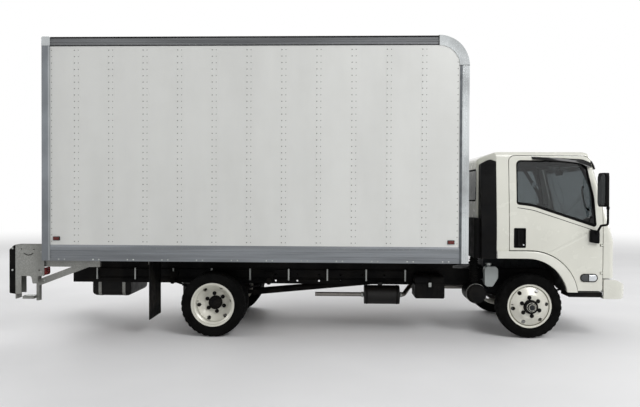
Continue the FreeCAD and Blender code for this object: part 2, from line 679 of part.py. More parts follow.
def load_roof():
    """Roof sheet on its bows, curving down at the nose."""
    wide = BOX_SIDE_Y - FRONT_POST_DEPTH
    thick = WALL_THICKNESS - 4
    rear = BOX_REAR_X + REAR_POST_WIDTH
    front = BOX_FRONT_X - 4
    top = BOX_TOP_Z - 4
    radius = CORNER_RADIUS - 4
    low = ROOF_FOOT_Z
    return prism_y([(rear, top), (front, top, radius), (front, low), (front - thick, low),
                    (front - thick, top - thick, radius - thick), (rear, top - thick)], -wide, wide)


def box_rails():
    """Top and bottom side rails with their drip lips and grooves."""
    rear = BOX_REAR_X + REAR_POST_WIDTH
    side = BOX_SIDE_Y
    inside = RAIL_INSIDE_Y
    low = BOX_BOTTOM_Z
    high = BOX_BOTTOM_Z + BOTTOM_RAIL_HEIGHT
    bottom = [(inside, low), (side, low), (side, low + 34), (side - 5, low + 38), (side - 5, low + 62),
              (side, low + 66), (side, low + 92), (side - 5, low + 96), (side - 5, low + 120),
              (side, low + 124), (side, high - 22), (side - 8, high), (inside, high)]
    top = BOX_TOP_Z
    cap = top - TOP_RAIL_HEIGHT
    upper = [(side - FRONT_POST_DEPTH, top), (side - 26, top, 18), (side - 5, top - 30), (side - 5, top - 52),
             (side, top - 58), (side, top - 72), (side - 5, top - 78), (side - 5, cap), (inside, cap),
             (inside, top - 40), (side - FRONT_POST_DEPTH, top - 40)]
    lower = prism_x(bottom, rear, BOX_FRONT_X - FRONT_POST_WIDTH)
    above = prism_x(upper, rear, BOX_FRONT_X - CORNER_RADIUS)
    return pair(lower) + pair(above)


def front_posts():
    """Polished corner posts whose cast heads curve back into the top rails."""
    front = BOX_FRONT_X
    top = BOX_TOP_Z
    back = front - CORNER_RADIUS
    side = BOX_SIDE_Y
    inner = side - FRONT_POST_DEPTH
    low = BOX_BOTTOM_Z
    band = prism_y([(back, top), (front, top, CORNER_RADIUS), (front, low), (front - FRONT_POST_WIDTH, low),
                    (front - FRONT_POST_WIDTH, top - TOP_RAIL_HEIGHT, CORNER_RADIUS - FRONT_POST_WIDTH),
                    (back, top - TOP_RAIL_HEIGHT)], inner, side)
    hollow = prism_y([(back - 10, top - 60), (front - 60, top - 60, CORNER_RADIUS - 60), (front - 60, low - 10),
                      (front - 200, low - 10), (front - 200, top - 200, 60), (back - 10, top - 200)],
                     inner - 10, RAIL_INSIDE_Y)
    seam = block(front - 200, front + 10, side - 3, side + 10, top - CASTING_HEIGHT - 2, top - CASTING_HEIGHT + 2)
    return pair(band.cut([hollow, seam]))


def rear_frame():
    """Steel door frame: two posts, a header and a sill, rebated for the door."""
    x0 = BOX_REAR_X
    x1 = BOX_REAR_X + REAR_POST_WIDTH
    side = BOX_SIDE_Y
    ring = prism_x([(-side, BOX_BOTTOM_Z), (-side, BOX_TOP_Z, 40), (side, BOX_TOP_Z, 40), (side, BOX_BOTTOM_Z)], x0, x1)
    wide = side - 90
    opening = block(x0 - 10, x1 + 10, -wide, wide, FLOOR_Z, BOX_TOP_Z - 190)
    rebate = block(x0 + 45, x1 + 10, -wide - 20, wide + 20, FLOOR_Z, BOX_TOP_Z - 170)
    return ring.cut([opening, rebate])


def rear_door():
    """Roll-up door: hinged flat panels closed behind the rear frame."""
    wide = BOX_SIDE_Y - 90 + 20 - SEAT_GAP
    x0 = BOX_REAR_X + 45 + SEAT_GAP
    x1 = x0 + 26
    low = FLOOR_Z + SEAT_GAP
    high = BOX_TOP_Z - 170 - SEAT_GAP
    panel = (high - low) / DOOR_PANELS
    points = [(x1, low)]
    for i in range(DOOR_PANELS):
        z = low + i * panel
        points.append((x0, z if i == 0 else z + 5))
        points.append((x0, z + panel - (0 if i == DOOR_PANELS - 1 else 5)))
        if i < DOOR_PANELS - 1:
            points.append((x0 + 5, z + panel))
    points.append((x1, high))
    return prism_y(points, -wide, wide)


# Cab

def screen_slope():
    """How far the windscreen leans back for each millimetre of height."""
    return (CAB_FRONT - CAB_ROOF_FRONT) / (CAB_ROOF_Z - SCREEN_FOOT_Z)


def side_slope():
    """How far the cab's sides lean in for each millimetre of height above the belt line."""
    return CAB_TOP_LEAN / (CAB_ROOF_Z + 8 - CAB_BELT_Z)


def cab_nose(inset):
    """Three stages of the cab's plan, whose front corners lean back with the windscreen and in with the sides."""
    side = CAB_SIDE_Y
    foot = SCREEN_FOOT_Z
    belt = CAB_BELT_Z
    lean = screen_slope()
    behind = ahead(CAB_BACK - 400)
    front = ahead(CAB_FRONT)
    radius = CAB_FRONT_CORNER
    plan = [(behind, -side), (front, -side, radius), (front, side, radius), (behind, side)]
    stages = [prism_z(plan, CAB_LOW_Z - 50, foot, inset)]
    wire = shrunk(outline(plan, lambda a, b: V(a, b, foot)), inset)
    rise = belt - foot
    stages.append(Part.Face(wire).extrude(V(-lean * rise, 0, rise)))
    step = front - lean * rise
    rise = CAB_ROOF_Z + 60 - belt
    halves = []
    for s in (-1, 1):
        edge = s * (side + 1)
        half = [(behind - 400, edge), (step, edge, radius), (step, -s * side * 2), (behind - 400, -s * side * 2)]
        if s > 0:
            half = [half[0], half[3], half[2], half[1]]
        wire = shrunk(outline(half, lambda a, b: V(a, b, belt)), inset)
        halves.append(Part.Face(wire).extrude(V(-lean * rise, -s * side_slope() * rise, rise)))
    stages.append(halves[0].common(halves[1]))
    return stages


def cab_tail(inset):
    """Cab's slanted rear corners in plan: upright below the belt line, leaning in with the sides above it."""
    side = CAB_SIDE_Y
    back = ahead(CAB_BACK)
    front = ahead(CAB_FRONT + 300)
    facet = (CAB_CREASE - CAB_BACK) / CAB_TAIL_INSET
    beyond = 20.0
    crease = ahead(CAB_CREASE) + beyond * facet
    plan = [(back, -side + CAB_TAIL_INSET, CAB_TAIL_CORNER), (crease, -side - beyond), (front, -side - beyond),
            (front, side + beyond), (crease, side + beyond), (back, side - CAB_TAIL_INSET, CAB_TAIL_CORNER)]
    upright = prism_z(plan, CAB_LOW_Z - 50, CAB_BELT_Z, inset)
    rise = CAB_ROOF_Z + 60 - CAB_BELT_Z
    halves = []
    for s in (-1, 1):
        half = [(back, s * (side - CAB_TAIL_INSET), CAB_TAIL_CORNER), (crease, s * (side + beyond)),
                (front, s * (side + beyond)), (front, -s * side * 2), (back, -s * side * 2)]
        if s > 0:
            half = half[::-1]
        wire = shrunk(outline(half, lambda a, b: V(a, b, CAB_BELT_Z)), inset)
        halves.append(Part.Face(wire).extrude(V(0, -s * side_slope() * rise, rise)))
    return upright, halves[0].common(halves[1])


def cab_block(inset):
    """Outer form of the cab moved inward by inset: side, front and plan outlines crossed."""
    low = CAB_LOW_Z
    side = CAB_SIDE_Y
    profile = [(ahead(CAB_BACK), low), (ahead(CAB_BACK), CAB_TAIL_Z, 60), (ahead(CAB_ROOF_REAR), CAB_ROOF_Z, 200),
               (ahead(CAB_ROOF_FRONT), CAB_ROOF_Z, 150), (ahead(CAB_FRONT), SCREEN_FOOT_Z, 120),
               (ahead(CAB_FRONT - 6), low)]
    shape = prism_x(cab_section(), ahead(CAB_BACK - 50), ahead(CAB_FRONT + 50), inset)
    shape = shape.common(prism_y(profile, -side - 50, side + 50, inset))
    upright, leaned = cab_tail(inset)
    stages = [shape.common(nose).common(tail) for nose, tail in zip(cab_nose(inset), (upright, upright, leaned))]
    return stages[0].multiFuse(stages[1:])


def arch_space(front, top, radius, y0, y1):
    """Space under a wheel arch curve, open to the back, for cutting."""
    edge = ahead(front)
    return prism_y([(ahead(CAB_BACK - 100), 200), (ahead(CAB_BACK - 100), top), (edge, top, radius), (edge, 200)],
                   y0, y1)


def inner_arch(grow, y0, y1):
    """Space inside the wheel arch lip, made larger by grow."""
    return arch_space(ARCH_INNER_FRONT + grow, ARCH_INNER_TOP_Z + grow, ARCH_INNER_RADIUS + grow, y0, y1)


def outer_arch(grow, y0, y1):
    """Space inside the wheel arch lip's outer edge, made larger by grow."""
    return arch_space(ARCH_OUTER_FRONT + grow, ARCH_OUTER_TOP_Z + grow, ARCH_OUTER_RADIUS + grow, y0, y1)


def door_outline():
    """Door aperture as (x, z) points, before the wheel arch is cut from it."""
    behind_screen = 29.0
    knee = SCREEN_FOOT_Z + (CAB_FRONT - behind_screen - DOOR_FRONT) / screen_slope()
    top = DOOR_FRONT - (DOOR_TOP_Z - knee) * screen_slope()
    return [(ahead(DOOR_REAR), DOOR_BOTTOM_Z), (ahead(DOOR_REAR), DOOR_TOP_Z, 62), (ahead(top), DOOR_TOP_Z, 110),
            (ahead(DOOR_FRONT), knee, 300), (ahead(DOOR_FRONT), DOOR_BOTTOM_Z, 30)]


def window_outline():
    """Door window with its dropped front sill, as (x, z) points."""
    return [(ahead(-180), 1608, 36), (ahead(-180), 2139, 55), (ahead(640), 2135, 80), (ahead(734), 1690, 500),
            (ahead(756), 1337, 30), (ahead(8), 1586, 600)]


def windscreen_outline():
    """Windscreen seen from the front, as (y, z) points."""
    low = CAB_SIDE_Y - 88
    high = CAB_SIDE_Y - 145
    return [(-low, 1222, 70), (-high, 2080, 90), (high, 2080, 90), (low, 1222, 70)]


def rear_window_outline():
    """Rear window seen from the front, as (y, z) points."""
    wide = CAB_SIDE_Y - 250
    return [(-wide + 20, 1640, 60), (-wide, 2040, 60), (wide, 2040, 60), (wide - 20, 1640, 60)]


def cab_section():
    """Cab seen from the front, as (y, z) points."""
    side = CAB_SIDE_Y
    high = CAB_ROOF_Z + 8
    lean = CAB_TOP_LEAN
    edge = CAB_ROOF_EDGE_RADIUS
    return [(-side + 4, CAB_LOW_Z), (-side, CAB_BELT_Z, 1600), (-side + lean, high, edge), (side - lean, high, edge),
            (side, CAB_BELT_Z, 1600), (side - 4, CAB_LOW_Z)]


def door_space(grow, deep):
    """Volume of the right doorway to a depth, made larger all round by grow."""
    return prism_y(door_outline(), -CAB_SIDE_Y - 60, -CAB_SIDE_Y + deep, -grow)


def hinge_axis():
    """Foot of the right door's hinge line."""
    return V(ahead(DOOR_FRONT - DOOR_HINGE_BEHIND_EDGE), -CAB_SIDE_Y + DOOR_HINGE_INSET, 0)


def hinge_arms():
    """Right door's hinge arms with their pins, fixed to the front panel."""
    axis = hinge_axis()
    pieces = []
    for z in DOOR_HINGES_Z:
        pieces.append(rod(axis + V(0, 0, z - 40), axis + V(0, 0, z + 40), DOOR_PIN_RADIUS))
        pieces.append(rod(axis + V(0, 0, z - 10), axis + V(0, 0, z + 10), DOOR_HINGE_INSET))
        pieces.append(block(axis.x, ahead(DOOR_FRONT + DOOR_GAP + 15), axis.y, axis.y + 12, z - 10, z + 10))
    return pieces


def nose_recesses():
    """Shallow seats in the front panel for the grille and the two headlamps."""
    back = ahead(CAB_FRONT - 28)
    front = ahead(CAB_FRONT + 60)
    wide = CAB_SIDE_Y - 60
    inner = CAB_SIDE_Y - 395
    lamp = [(-wide, 772, 30), (-wide, 950, 40), (-inner, 950, 60), (-inner - 60, 772, 30)]
    grille = [(-inner + 60, 985, 25), (-inner + 60, 1135, 25), (inner - 60, 1135, 25), (inner - 60, 985, 25)]
    lamp_seat = prism_x(lamp, back, front)
    return [lamp_seat, mirrored(lamp_seat), prism_x(grille, back, front)]


def cab_panels():
    """The cab's shell split into roof, rear wall, front panel and side frames."""
    shell = cab_block(0).cut(cab_block(CAB_WALL))
    arch = outer_arch(0, -CAB_SIDE_Y - 60, CAB_SIDE_Y + 60)
    doorway = door_space(DOOR_GAP, 200).cut(outer_arch(0, -CAB_SIDE_Y - 60, 0))
    front_screen = prism_x(windscreen_outline(), ahead(500), ahead(1100))
    rear_screen = prism_x(rear_window_outline(), ahead(CAB_BACK - 60), ahead(CAB_BACK + 200))
    skirt = block(ahead(CAB_BACK - 60), ahead(CAB_FRONT + 60), -1200, 1200, 300, NOSE_BOTTOM_Z)
    shell = shell.cut([arch, doorway, mirrored(doorway), front_screen, rear_screen, skirt])
    seam_z = DOOR_TOP_Z - 40
    above = block(ahead(-900), ahead(1200), -1200, 1200, seam_z, CAB_ROOF_Z + 100)
    behind = block(ahead(-900), ahead(CAB_BACK + 190), -1200, 1200, 300, seam_z)
    nose = block(ahead(DOOR_FRONT - 12), ahead(1200), -1200, 1200, 300, 1200)
    roof = shell.common(above)
    rear_wall = shell.common(behind)
    arms = hinge_arms()
    front_panel = fused([shell.common(nose)] + arms + [mirrored(arm) for arm in arms]).cut(nose_recesses())
    sides = shell.cut([above, behind, nose])
    return roof, rear_wall, front_panel, sides


def cab_glass():
    """Windscreen and rear window, curved with the cab and seated in their openings."""
    skin = cab_block(12).cut(cab_block(12 + GLASS_THICKNESS))
    front = skin.common(prism_x(windscreen_outline(), ahead(500), ahead(1100)))
    rear = skin.common(prism_x(rear_window_outline(), ahead(CAB_BACK - 60), ahead(CAB_BACK + 200)))
    return [front, rear]


def door():
    """Right door: full thickness, cut round the wheel arch, with its window opening and handle recess."""
    inside = prism_x(cab_section(), ahead(CAB_BACK - 50), ahead(CAB_FRONT + 50), DOOR_THICKNESS)
    shape = cab_block(0).common(door_space(0, 200)).cut(inside)
    shape = shape.cut(outer_arch(ARCH_GAP, -CAB_SIDE_Y - 60, 0))
    window = prism_y(window_outline(), -CAB_SIDE_Y - 60, -CAB_SIDE_Y + 200)
    pull = prism_y([(ahead(-216), 1092, 15), (ahead(-216), 1329, 15), (ahead(-73), 1329, 15),
                    (ahead(-73), 1092, 15)], -CAB_SIDE_Y - 60, -CAB_SIDE_Y + 22)
    bar = 44.0
    line_y = -CAB_SIDE_Y - bar + 6
    swage = bent_tube([V(ahead(95), line_y, 1012), V(ahead(165), line_y, 1008), V(ahead(641), line_y, 1263)], bar, 90)
    axis = hinge_axis()
    notches = []
    for z in DOOR_HINGES_Z:
        notches.append(rod(axis + V(0, 0, z - 45), axis + V(0, 0, z + 45), DOOR_PIN_RADIUS + BEARING_CLEARANCE))
        notches.append(block(axis.x - 18, ahead(DOOR_FRONT) + 5, -CAB_SIDE_Y - 10, axis.y + 20, z - 16, z + 16))
    return shape.cut([window, pull, swage] + notches)


def door_glass():
    """Right door glass, curved with the door and seated in its window opening."""
    skin = cab_block(18).cut(cab_block(18 + GLASS_THICKNESS))
    return skin.common(prism_y(window_outline(), -CAB_SIDE_Y - 60, -CAB_SIDE_Y + 200))


def mirror_set():
    """Right mirror: bracket on the door, bent arm and upright head on it."""
    side = CAB_SIDE_Y
    bracket = prism_y([(ahead(668), 1165, 18), (ahead(668), 1316, 18), (ahead(774), 1305, 18), (ahead(774), 1150, 18)],
                      -side - 38, -side + 10)
    route = [V(ahead(728), -side - 15, 1240), V(ahead(756), -side - 120, 1368), V(ahead(774), -side - 262, 1385),
             V(ahead(772), -side - 262, 1940)]
    arm = bent_tube(route, 13, 34)
    head = prism_z([(ahead(735), -side - 60, 18), (ahead(781), -side - 66, 22), (ahead(787), -side - 272, 24),
                    (ahead(742), -side - 280, 16)], 1588, 1980)
    front = prism_x([(-side - 284, 1588, 60), (-side - 284, 1980, 60), (-side - 56, 1980, 60), (-side - 56, 1588, 60)],
                    ahead(700), ahead(850))
    return fused([bracket, arm, head.common(front)]).cut(cab_block(-SEAT_GAP))


def cab_floor():
    """Foot well, seat riser and seat platform in one pressing, with the tilt arms."""
    wide = CAB_SIDE_Y - CAB_WALL - 20
    face = ahead(CAB_FRONT)
    back = ahead(CAB_BACK)
    riser = ahead(345)
    sheet = [(face, 820), (face, 850), (riser + 30, 850, 20), (riser + 30, SEAT_FLOOR_Z, 30), (back, SEAT_FLOOR_Z),
             (back, SEAT_FLOOR_Z - 30), (riser, SEAT_FLOOR_Z - 30, 10), (riser, 820, 30)]
    pan = prism_y(sheet, -wide, wide).common(cab_block(CAB_WALL + SEAT_GAP))
    pieces = [pan]
    y = RAIL_SPAN / 2
    for side in (-1, 1):
        arm = sorted([side * (y + 40), side * (y + 70)])
        pieces.append(prism_y([(ahead(830), 820), (ahead(830), 740, 20), (ahead(TILT_PIVOT_X - 40), TILT_PIVOT_Z - 28, 28),
                               (ahead(TILT_PIVOT_X + 28), TILT_PIVOT_Z - 28, 27),
                               (ahead(TILT_PIVOT_X + 28), TILT_PIVOT_Z + 28, 27), (ahead(900), 712, 20),
                               (ahead(900), 820)], arm[0], arm[1]))
    floor = fused(pieces)
    bore = rod(V(ahead(TILT_PIVOT_X), -900, TILT_PIVOT_Z), V(ahead(TILT_PIVOT_X), 900, TILT_PIVOT_Z),
               TILT_PIN_RADIUS + BEARING_CLEARANCE)
    return floor.cut(bore)


def wheel_arches():
    """Flared arch lip with its liner over each front wheel."""
    side = CAB_SIDE_Y
    lip = outer_arch(0, -side - ARCH_LIP, -side + 60)
    lip = lip.cut(inner_arch(0, -side - 80, -side + 100))
    liner = inner_arch(8, -side + 60, -600)
    liner = liner.cut(inner_arch(0, -side, -500))
    keep = block(ahead(CAB_CREASE), ahead(700), -1200, 0, STEP_TOP_Z + SEAT_GAP, 1200)
    return pair(fused([lip, liner]).common(keep))


def cab_steps():
    """Entry step below each door, with its well up to the floor."""
    side = CAB_SIDE_Y
    back = ahead(ARCH_INNER_FRONT + 12)
    front = ahead(BUMPER_BACK - 12)
    tread = prism_y([(back, STEP_TOP_Z), (back, 512, 14), (front, 512, 14), (front, STEP_TOP_Z)], -side + 8, -side + 260)
    well = block(back, front, -side + 240, -side + 260, 565, 820)
    return pair(fused([tread, well]))


def dashboard():
    """Dashboard moulding with the steering column through it."""
    wide = CAB_SIDE_Y - 110
    face = ahead(CAB_FRONT)
    shape = prism_y([(face, 900), (face, 1170), (face - 30, 1240, 30), (ahead(690), 1240, 60),
                     (ahead(640), 1100, 50), (ahead(720), 900, 40)], -wide, wide)
    shape = shape.common(cab_block(CAB_WALL + SEAT_GAP))
    column = rod(WHEEL_CENTRE - COLUMN_WAY * 600, WHEEL_CENTRE - COLUMN_WAY * 60, 32)
    bore = rod(WHEEL_CENTRE - COLUMN_WAY * 220, WHEEL_CENTRE, 12 + BEARING_CLEARANCE)
    return fused([shape, column]).cut(bore)


def steering_wheel():
    """Rim, three spokes and hub on the column's axis."""
    way = COLUMN_WAY
    centre = WHEEL_CENTRE
    rim = Part.makeTorus(205, 14, centre, way)
    hub = rod(centre - way * 54, centre + way * 12, 48)
    shaft = rod(centre - way * 200, centre - way * 50, 12)
    pieces = [rim, hub, shaft]
    across = ALONG_Y
    down = way.cross(across)
    for turn in (90, 210, 330):
        a = math.radians(turn)
        out = across * math.cos(a) + down * math.sin(a)
        pieces.append(rod(centre, centre + out * 205, 12))
    return fused(pieces)


def seats():
    """Driver's seat and double passenger seat: cushions and backs."""
    z = SEAT_FLOOR_Z + SEAT_GAP
    result = []
    door_side = CAB_SIDE_Y - 120
    for y0, y1 in ((CAB_SIDE_Y - 820, CAB_SIDE_Y - 340), (-door_side, -140)):
        result.append(prism_y([(ahead(-310), z, 20), (ahead(250), z, 30), (ahead(250), z + 140, 60),
                               (ahead(-310), z + 120, 12)], y0, y1))
        result.append(prism_y([(ahead(-298), z + 120.8), (ahead(-170), z + 125.4, 30), (ahead(-275), z + 720, 36),
                               (ahead(-370), z + 720, 36)], y0, y1))
    return result


def air_intake():
    """Upright intake duct on the cab's rear right corner."""
    side = CAB_SIDE_Y
    edge = ahead(CAB_CREASE - 3)
    duct = prism_z([(ahead(-600), -side - 10, 35), (edge, -side - 10), (edge, -side + 200), (ahead(-600), -side + 200, 25)],
                   960, 2160)
    duct = duct.common(prism_x(cab_section(), ahead(CAB_BACK - 50), ahead(CAB_CREASE + 50), 2))
    crown = prism_y([(ahead(-605), 950), (ahead(-605), 2085, 60), (ahead(-493), 2150, 60), (ahead(CAB_CREASE + 10), 2118, 10),
                     (ahead(CAB_CREASE + 10), 950)], -side - 30, -side + 220)
    chest = prism_z([(ahead(-668), -side + 60, 40), (ahead(-560), -side + 60, 20), (ahead(-560), -side + 560, 20),
                     (ahead(-668), -side + 560, 40)], 960, 1440)
    return fused([duct.common(crown), chest]).cut(cab_block(-SEAT_GAP))


# Running gear

def rim_profile():
    """Half section of the rim barrel as (outward, radius) points."""
    w = RIM_WIDTH / 2
    t = RIM_WALL
    lip = RIM_RADIUS
    seat = BEAD_RADIUS
    well = seat - 24
    return [(-w, lip), (-w + t, lip), (-w + t + 3, seat), (-w + 40, seat - 2), (-w + 56, well), (20, well), (38, seat - 2),
            (w - t - 3, seat), (w - t, lip), (w, lip), (w - 4, seat - t), (42, seat - 2 - t), (24, well - t),
            (-w + 52, well - t), (-w + 36, seat - 2 - t), (-w + 4, seat - t)]


def disc_profile():
    """Half section of the wheel disc, dished from the barrel to the hub face."""
    face = DISC_OFFSET
    t = DISC_THICKNESS
    edge = BEAD_RADIUS - RIM_WALL - 1
    return [(24, edge - 22), (34, edge - 19), (70, edge - 20), (face - 6, 150), (face, 138), (face, 60), (face + t, 60),
            (face + t, 142), (face + 2, 158), (78, edge - 12), (40, edge - 3)]


def wheel(centre, outward):
    """Steel wheel with hand holes; outward is the side that its disc stands towards."""
    shape = turned(rim_profile(), centre, outward).fuse(turned(disc_profile(), centre, outward))
    holes = []
    for i in range(HAND_HOLES):
        a = math.radians(360 / HAND_HOLES * i + HAND_HOLE_TURN)
        spot = centre + V(math.cos(a) * HAND_HOLE_CIRCLE, 0, math.sin(a) * HAND_HOLE_CIRCLE)
        holes.append(rod(spot + V(0, outward * HAND_HOLE_START, 0), spot + V(0, outward * 200, 0), HAND_HOLE_RADIUS))
    return shape.cut(holes)


def tyre(centre):
    """Tyre section turned about the axle."""
    w = TYRE_WIDTH / 2
    r = TYRE_RADIUS
    bead = RIM_WIDTH / 2 - RIM_WALL
    seat = BEAD_RADIUS + 1
    profile = [(-bead + 6, seat), (-bead - 0.4, seat + 20), (-w + 6, seat + 34), (-w, r - 70), (-w + 10, r - 22),
               (-w + 30, r - 4), (-w + 55, r), (w - 55, r), (w - 30, r - 4), (w - 10, r - 22), (w, r - 70),
               (w - 6, seat + 34), (bead + 0.4, seat + 20), (bead - 6, seat), (bead - 30, seat + 3),
               (bead - 20, seat + 24), (w - 22, r - 60), (w - 36, r - 18), (-w + 36, r - 18), (-w + 22, r - 60),
               (-bead + 20, seat + 24), (-bead + 30, seat + 3)]
    return turned(profile, centre, 1)


def front_wheel():
    """Right front wheel with its hub and drum."""
    centre = V(FRONT_AXLE_X, -FRONT_TRACK / 2, AXLE_Z)
    hub = turned([(-12, SPINDLE_RADIUS + BEARING_CLEARANCE), (-12, 56), (DISC_OFFSET - 14, 56), (DISC_OFFSET - 14, 130),
                  (DISC_OFFSET, 130), (DISC_OFFSET, 70), (DISC_OFFSET + 48, HUB_RADIUS - 4), (DISC_OFFSET + 56, 42),
                  (DISC_OFFSET + 78, 38), (DISC_OFFSET + 78, 0), (DISC_OFFSET + 60, 0),
                  (DISC_OFFSET + 60, SPINDLE_RADIUS + BEARING_CLEARANCE)], centre, -1)
    drum = turned([(-60, DRUM_RADIUS), (30, DRUM_RADIUS), (30, 50), (42, 50), (42, DRUM_RADIUS + 12),
                   (-60, DRUM_RADIUS + 12)], centre, -1)
    return fused([wheel(centre, -1), hub, drum])


def rear_wheel():
    """Right pair of rear wheels, face to face on one hub with its drum."""
    mount = REAR_MOUNT_Y
    reach = DISC_OFFSET + DISC_THICKNESS
    inner = V(REAR_AXLE_X, -(mount - reach), AXLE_Z)
    outer = V(REAR_AXLE_X, -(mount + reach), AXLE_Z)
    bore = REAR_SPINDLE_RADIUS + BEARING_CLEARANCE
    centre = V(REAR_AXLE_X, -mount, AXLE_Z)
    end = REAR_HUB_REACH
    hub = turned([(-150, bore), (-150, 62), (-26, 72), (-26, 130), (-10, 130), (-10, HUB_RADIUS),
                  (end - 12, HUB_RADIUS), (end, 62), (end, 0), (end - 10, 0), (end - 10, bore)], centre, -1)
    drum = turned([(-200, DRUM_RADIUS), (-40, DRUM_RADIUS), (-40, 62), (-26, 62), (-26, DRUM_RADIUS + 12),
                   (-200, DRUM_RADIUS + 12)], centre, -1)
    return fused([wheel(inner, -1), wheel(outer, 1), hub, drum])


def knuckle():
    """Right steering knuckle: forked yoke with its kingpin, spindle, steering arm and brake plate."""
    x = FRONT_AXLE_X
    y = -KINGPIN_Y
    top = AXLE_Z + KINGPIN_EYE_HALF + KNUCKLE_GAP
    low = AXLE_Z - KINGPIN_EYE_HALF - KNUCKLE_GAP
    pieces = [rod(V(x, y, low - 34), V(x, y, top + 34), KINGPIN_RADIUS)]
    pieces.append(rod(V(x, y, top), V(x, y, top + 28), 38))
    pieces.append(rod(V(x, y, low - 28), V(x, y, low), 38))
    back = y - 48
    pieces.append(prism_x([(y + 10, top), (y + 10, top + 28), (back - 18, top + 28), (back - 18, low - 28),
                           (y + 10, low - 28), (y + 10, low), (back, low), (back, top)], x - 30, x + 30))
    end = -FRONT_TRACK / 2 - DISC_OFFSET - 50
    pieces.append(rod(V(x, back - 8, AXLE_Z), V(x, end, AXLE_Z), SPINDLE_RADIUS))
    arm = prism_z([(x - 30, y - 60), (x - 30, y + 10), (x - 190, y + 70, 14), (x - 210, y + 40, 14)],
                  low - 28, low - 6)
    pieces.append(arm)
    return fused(pieces)


def main():
    """Make every piece and write it out."""
    os.makedirs("parts", exist_ok=True)
    export("chassis_frame", chassis_frame())
    export("leaf_springs", leaf_springs())
    export("front_axle", front_axle())
    export("rear_axle", rear_axle())
    export("engine", engine())
    export("propshaft", propshaft())
    export("fuel_tank", fuel_tank())
    export("battery_box", battery_box())
    export("coolant_bottle", coolant_bottle())
    export("air_cleaner", air_cleaner())
    export("exhaust", exhaust())
    export("front_bumper", front_bumper())
    export("mudflaps", mudflaps())
    export("rear_step", rear_step())
    export("dock_bumpers", dock_bumpers())
    export("tail_lamps", tail_lamps())
    export("floor_sills", floor_sills())
    export("load_floor", load_floor())
    export("side_walls", side_walls())
    export("front_wall", front_wall())
    export("load_roof", load_roof())
    export("box_rails", box_rails())
    export("front_posts", front_posts())
    export("rear_frame", rear_frame())
    export("rear_door", rear_door())
    roof, rear_wall, front_panel, sides = cab_panels()
    export("cab_roof", roof)
    export("cab_rear_wall", rear_wall)
    export("cab_front_panel", front_panel)
    export("cab_side_frames", sides)
    export("cab_glass", cab_glass())
    export("cab_floor", cab_floor())
    export("wheel_arches", wheel_arches())
    export("cab_steps", cab_steps())
    export("dashboard", dashboard())
    export("steering_wheel", steering_wheel())
    export("seats", seats())
    export("air_intake", air_intake())
    sided = [("door", door()), ("door_glass", door_glass()), ("mirror", mirror_set()), ("knuckle", knuckle()),
             ("front_wheel", front_wheel()), ("rear_wheels", rear_wheel())]
    for name, shape in sided:
        export("right_" + name, shape)
        export("left_" + name, mirrored(shape))
    front_tyre = tyre(V(FRONT_AXLE_X, -FRONT_TRACK / 2, AXLE_Z))
    reach = DISC_OFFSET + DISC_THICKNESS
    rear_tyres = [tyre(V(REAR_AXLE_X, -REAR_MOUNT_Y - side * reach, AXLE_Z)) for side in (-1, 1)]
    export("right_front_tyre", front_tyre)
    export("left_front_tyre", mirrored(front_tyre))
    export("right_rear_tyres", rear_tyres)
    export("left_rear_tyres", [mirrored(t) for t in rear_tyres])


main()
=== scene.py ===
"""Finishes, fittings, padded seats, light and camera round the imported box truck.

Metres, in the row frame: +X forward, +Y the driver's left, +Z up, ground at zero.
"""

import logging
import math
from dataclasses import dataclass
from enum import Enum
from typing import Callable, Optional, Sequence

import bmesh
import bpy
from mathutils import Matrix, Vector


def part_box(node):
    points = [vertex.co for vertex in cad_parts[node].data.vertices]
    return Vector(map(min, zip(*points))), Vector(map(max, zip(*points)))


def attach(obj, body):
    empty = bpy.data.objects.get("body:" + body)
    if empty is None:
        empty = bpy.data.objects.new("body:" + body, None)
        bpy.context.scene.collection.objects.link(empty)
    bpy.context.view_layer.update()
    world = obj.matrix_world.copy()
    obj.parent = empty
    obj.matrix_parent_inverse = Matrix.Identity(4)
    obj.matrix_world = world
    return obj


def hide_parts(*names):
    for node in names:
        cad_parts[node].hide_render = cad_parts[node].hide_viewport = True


logging.basicConfig(level=logging.INFO, format="%(name)s: %(message)s")
LOG = logging.getLogger("truck")
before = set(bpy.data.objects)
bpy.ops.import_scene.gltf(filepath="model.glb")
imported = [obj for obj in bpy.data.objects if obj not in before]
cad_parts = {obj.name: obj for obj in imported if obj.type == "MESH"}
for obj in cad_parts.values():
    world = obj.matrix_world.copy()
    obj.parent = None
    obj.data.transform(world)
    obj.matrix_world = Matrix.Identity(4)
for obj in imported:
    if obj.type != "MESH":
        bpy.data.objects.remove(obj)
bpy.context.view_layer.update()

Point = tuple[float, ...]
Test = Callable[[Vector, Vector], bool]
RIGHT = -1
LEFT = 1
SIDES = ((RIGHT, "right"), (LEFT, "left"))


def node_middle(node: str) -> Vector:
    """Returns the centre of a CAD node's box."""
    low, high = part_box(node)
    return (Vector(low) + Vector(high)) / 2


FRONT_AXLE = node_middle("right_front_tyre").x
REAR_AXLE = node_middle("right_rear_tyres").x
AXLE_Z = node_middle("right_front_tyre").z
VAN_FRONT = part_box("front_posts")[1][0]
CAB_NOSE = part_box("cab_front_panel")[1][0]
CAB_CORNER = 0.09
SCREEN_LEAN = 0.258
SCREEN_FOOT = 1.18
PALE_FROM = 0.15
DARK_SPECULAR = 0.07
CAB = "cab_body"
BASE = "chassis_body"


# Finishes


def linear(code: str, alpha: float = 1.0) -> tuple[float, float, float, float]:
    """Turns a written colour into the shader's linear one.

    Args:
        code: Six hexadecimal digits, as on a paint card.
        alpha: Fourth value.

    Returns:
        Linear red, green, blue and alpha.
    """
    parts = [int(code[i:i + 2], 16) / 255 for i in (0, 2, 4)]
    flat = [c / 12.92 if c <= 0.04045 else ((c + 0.055) / 1.055) ** 2.4 for c in parts]
    return (flat[0], flat[1], flat[2], alpha)


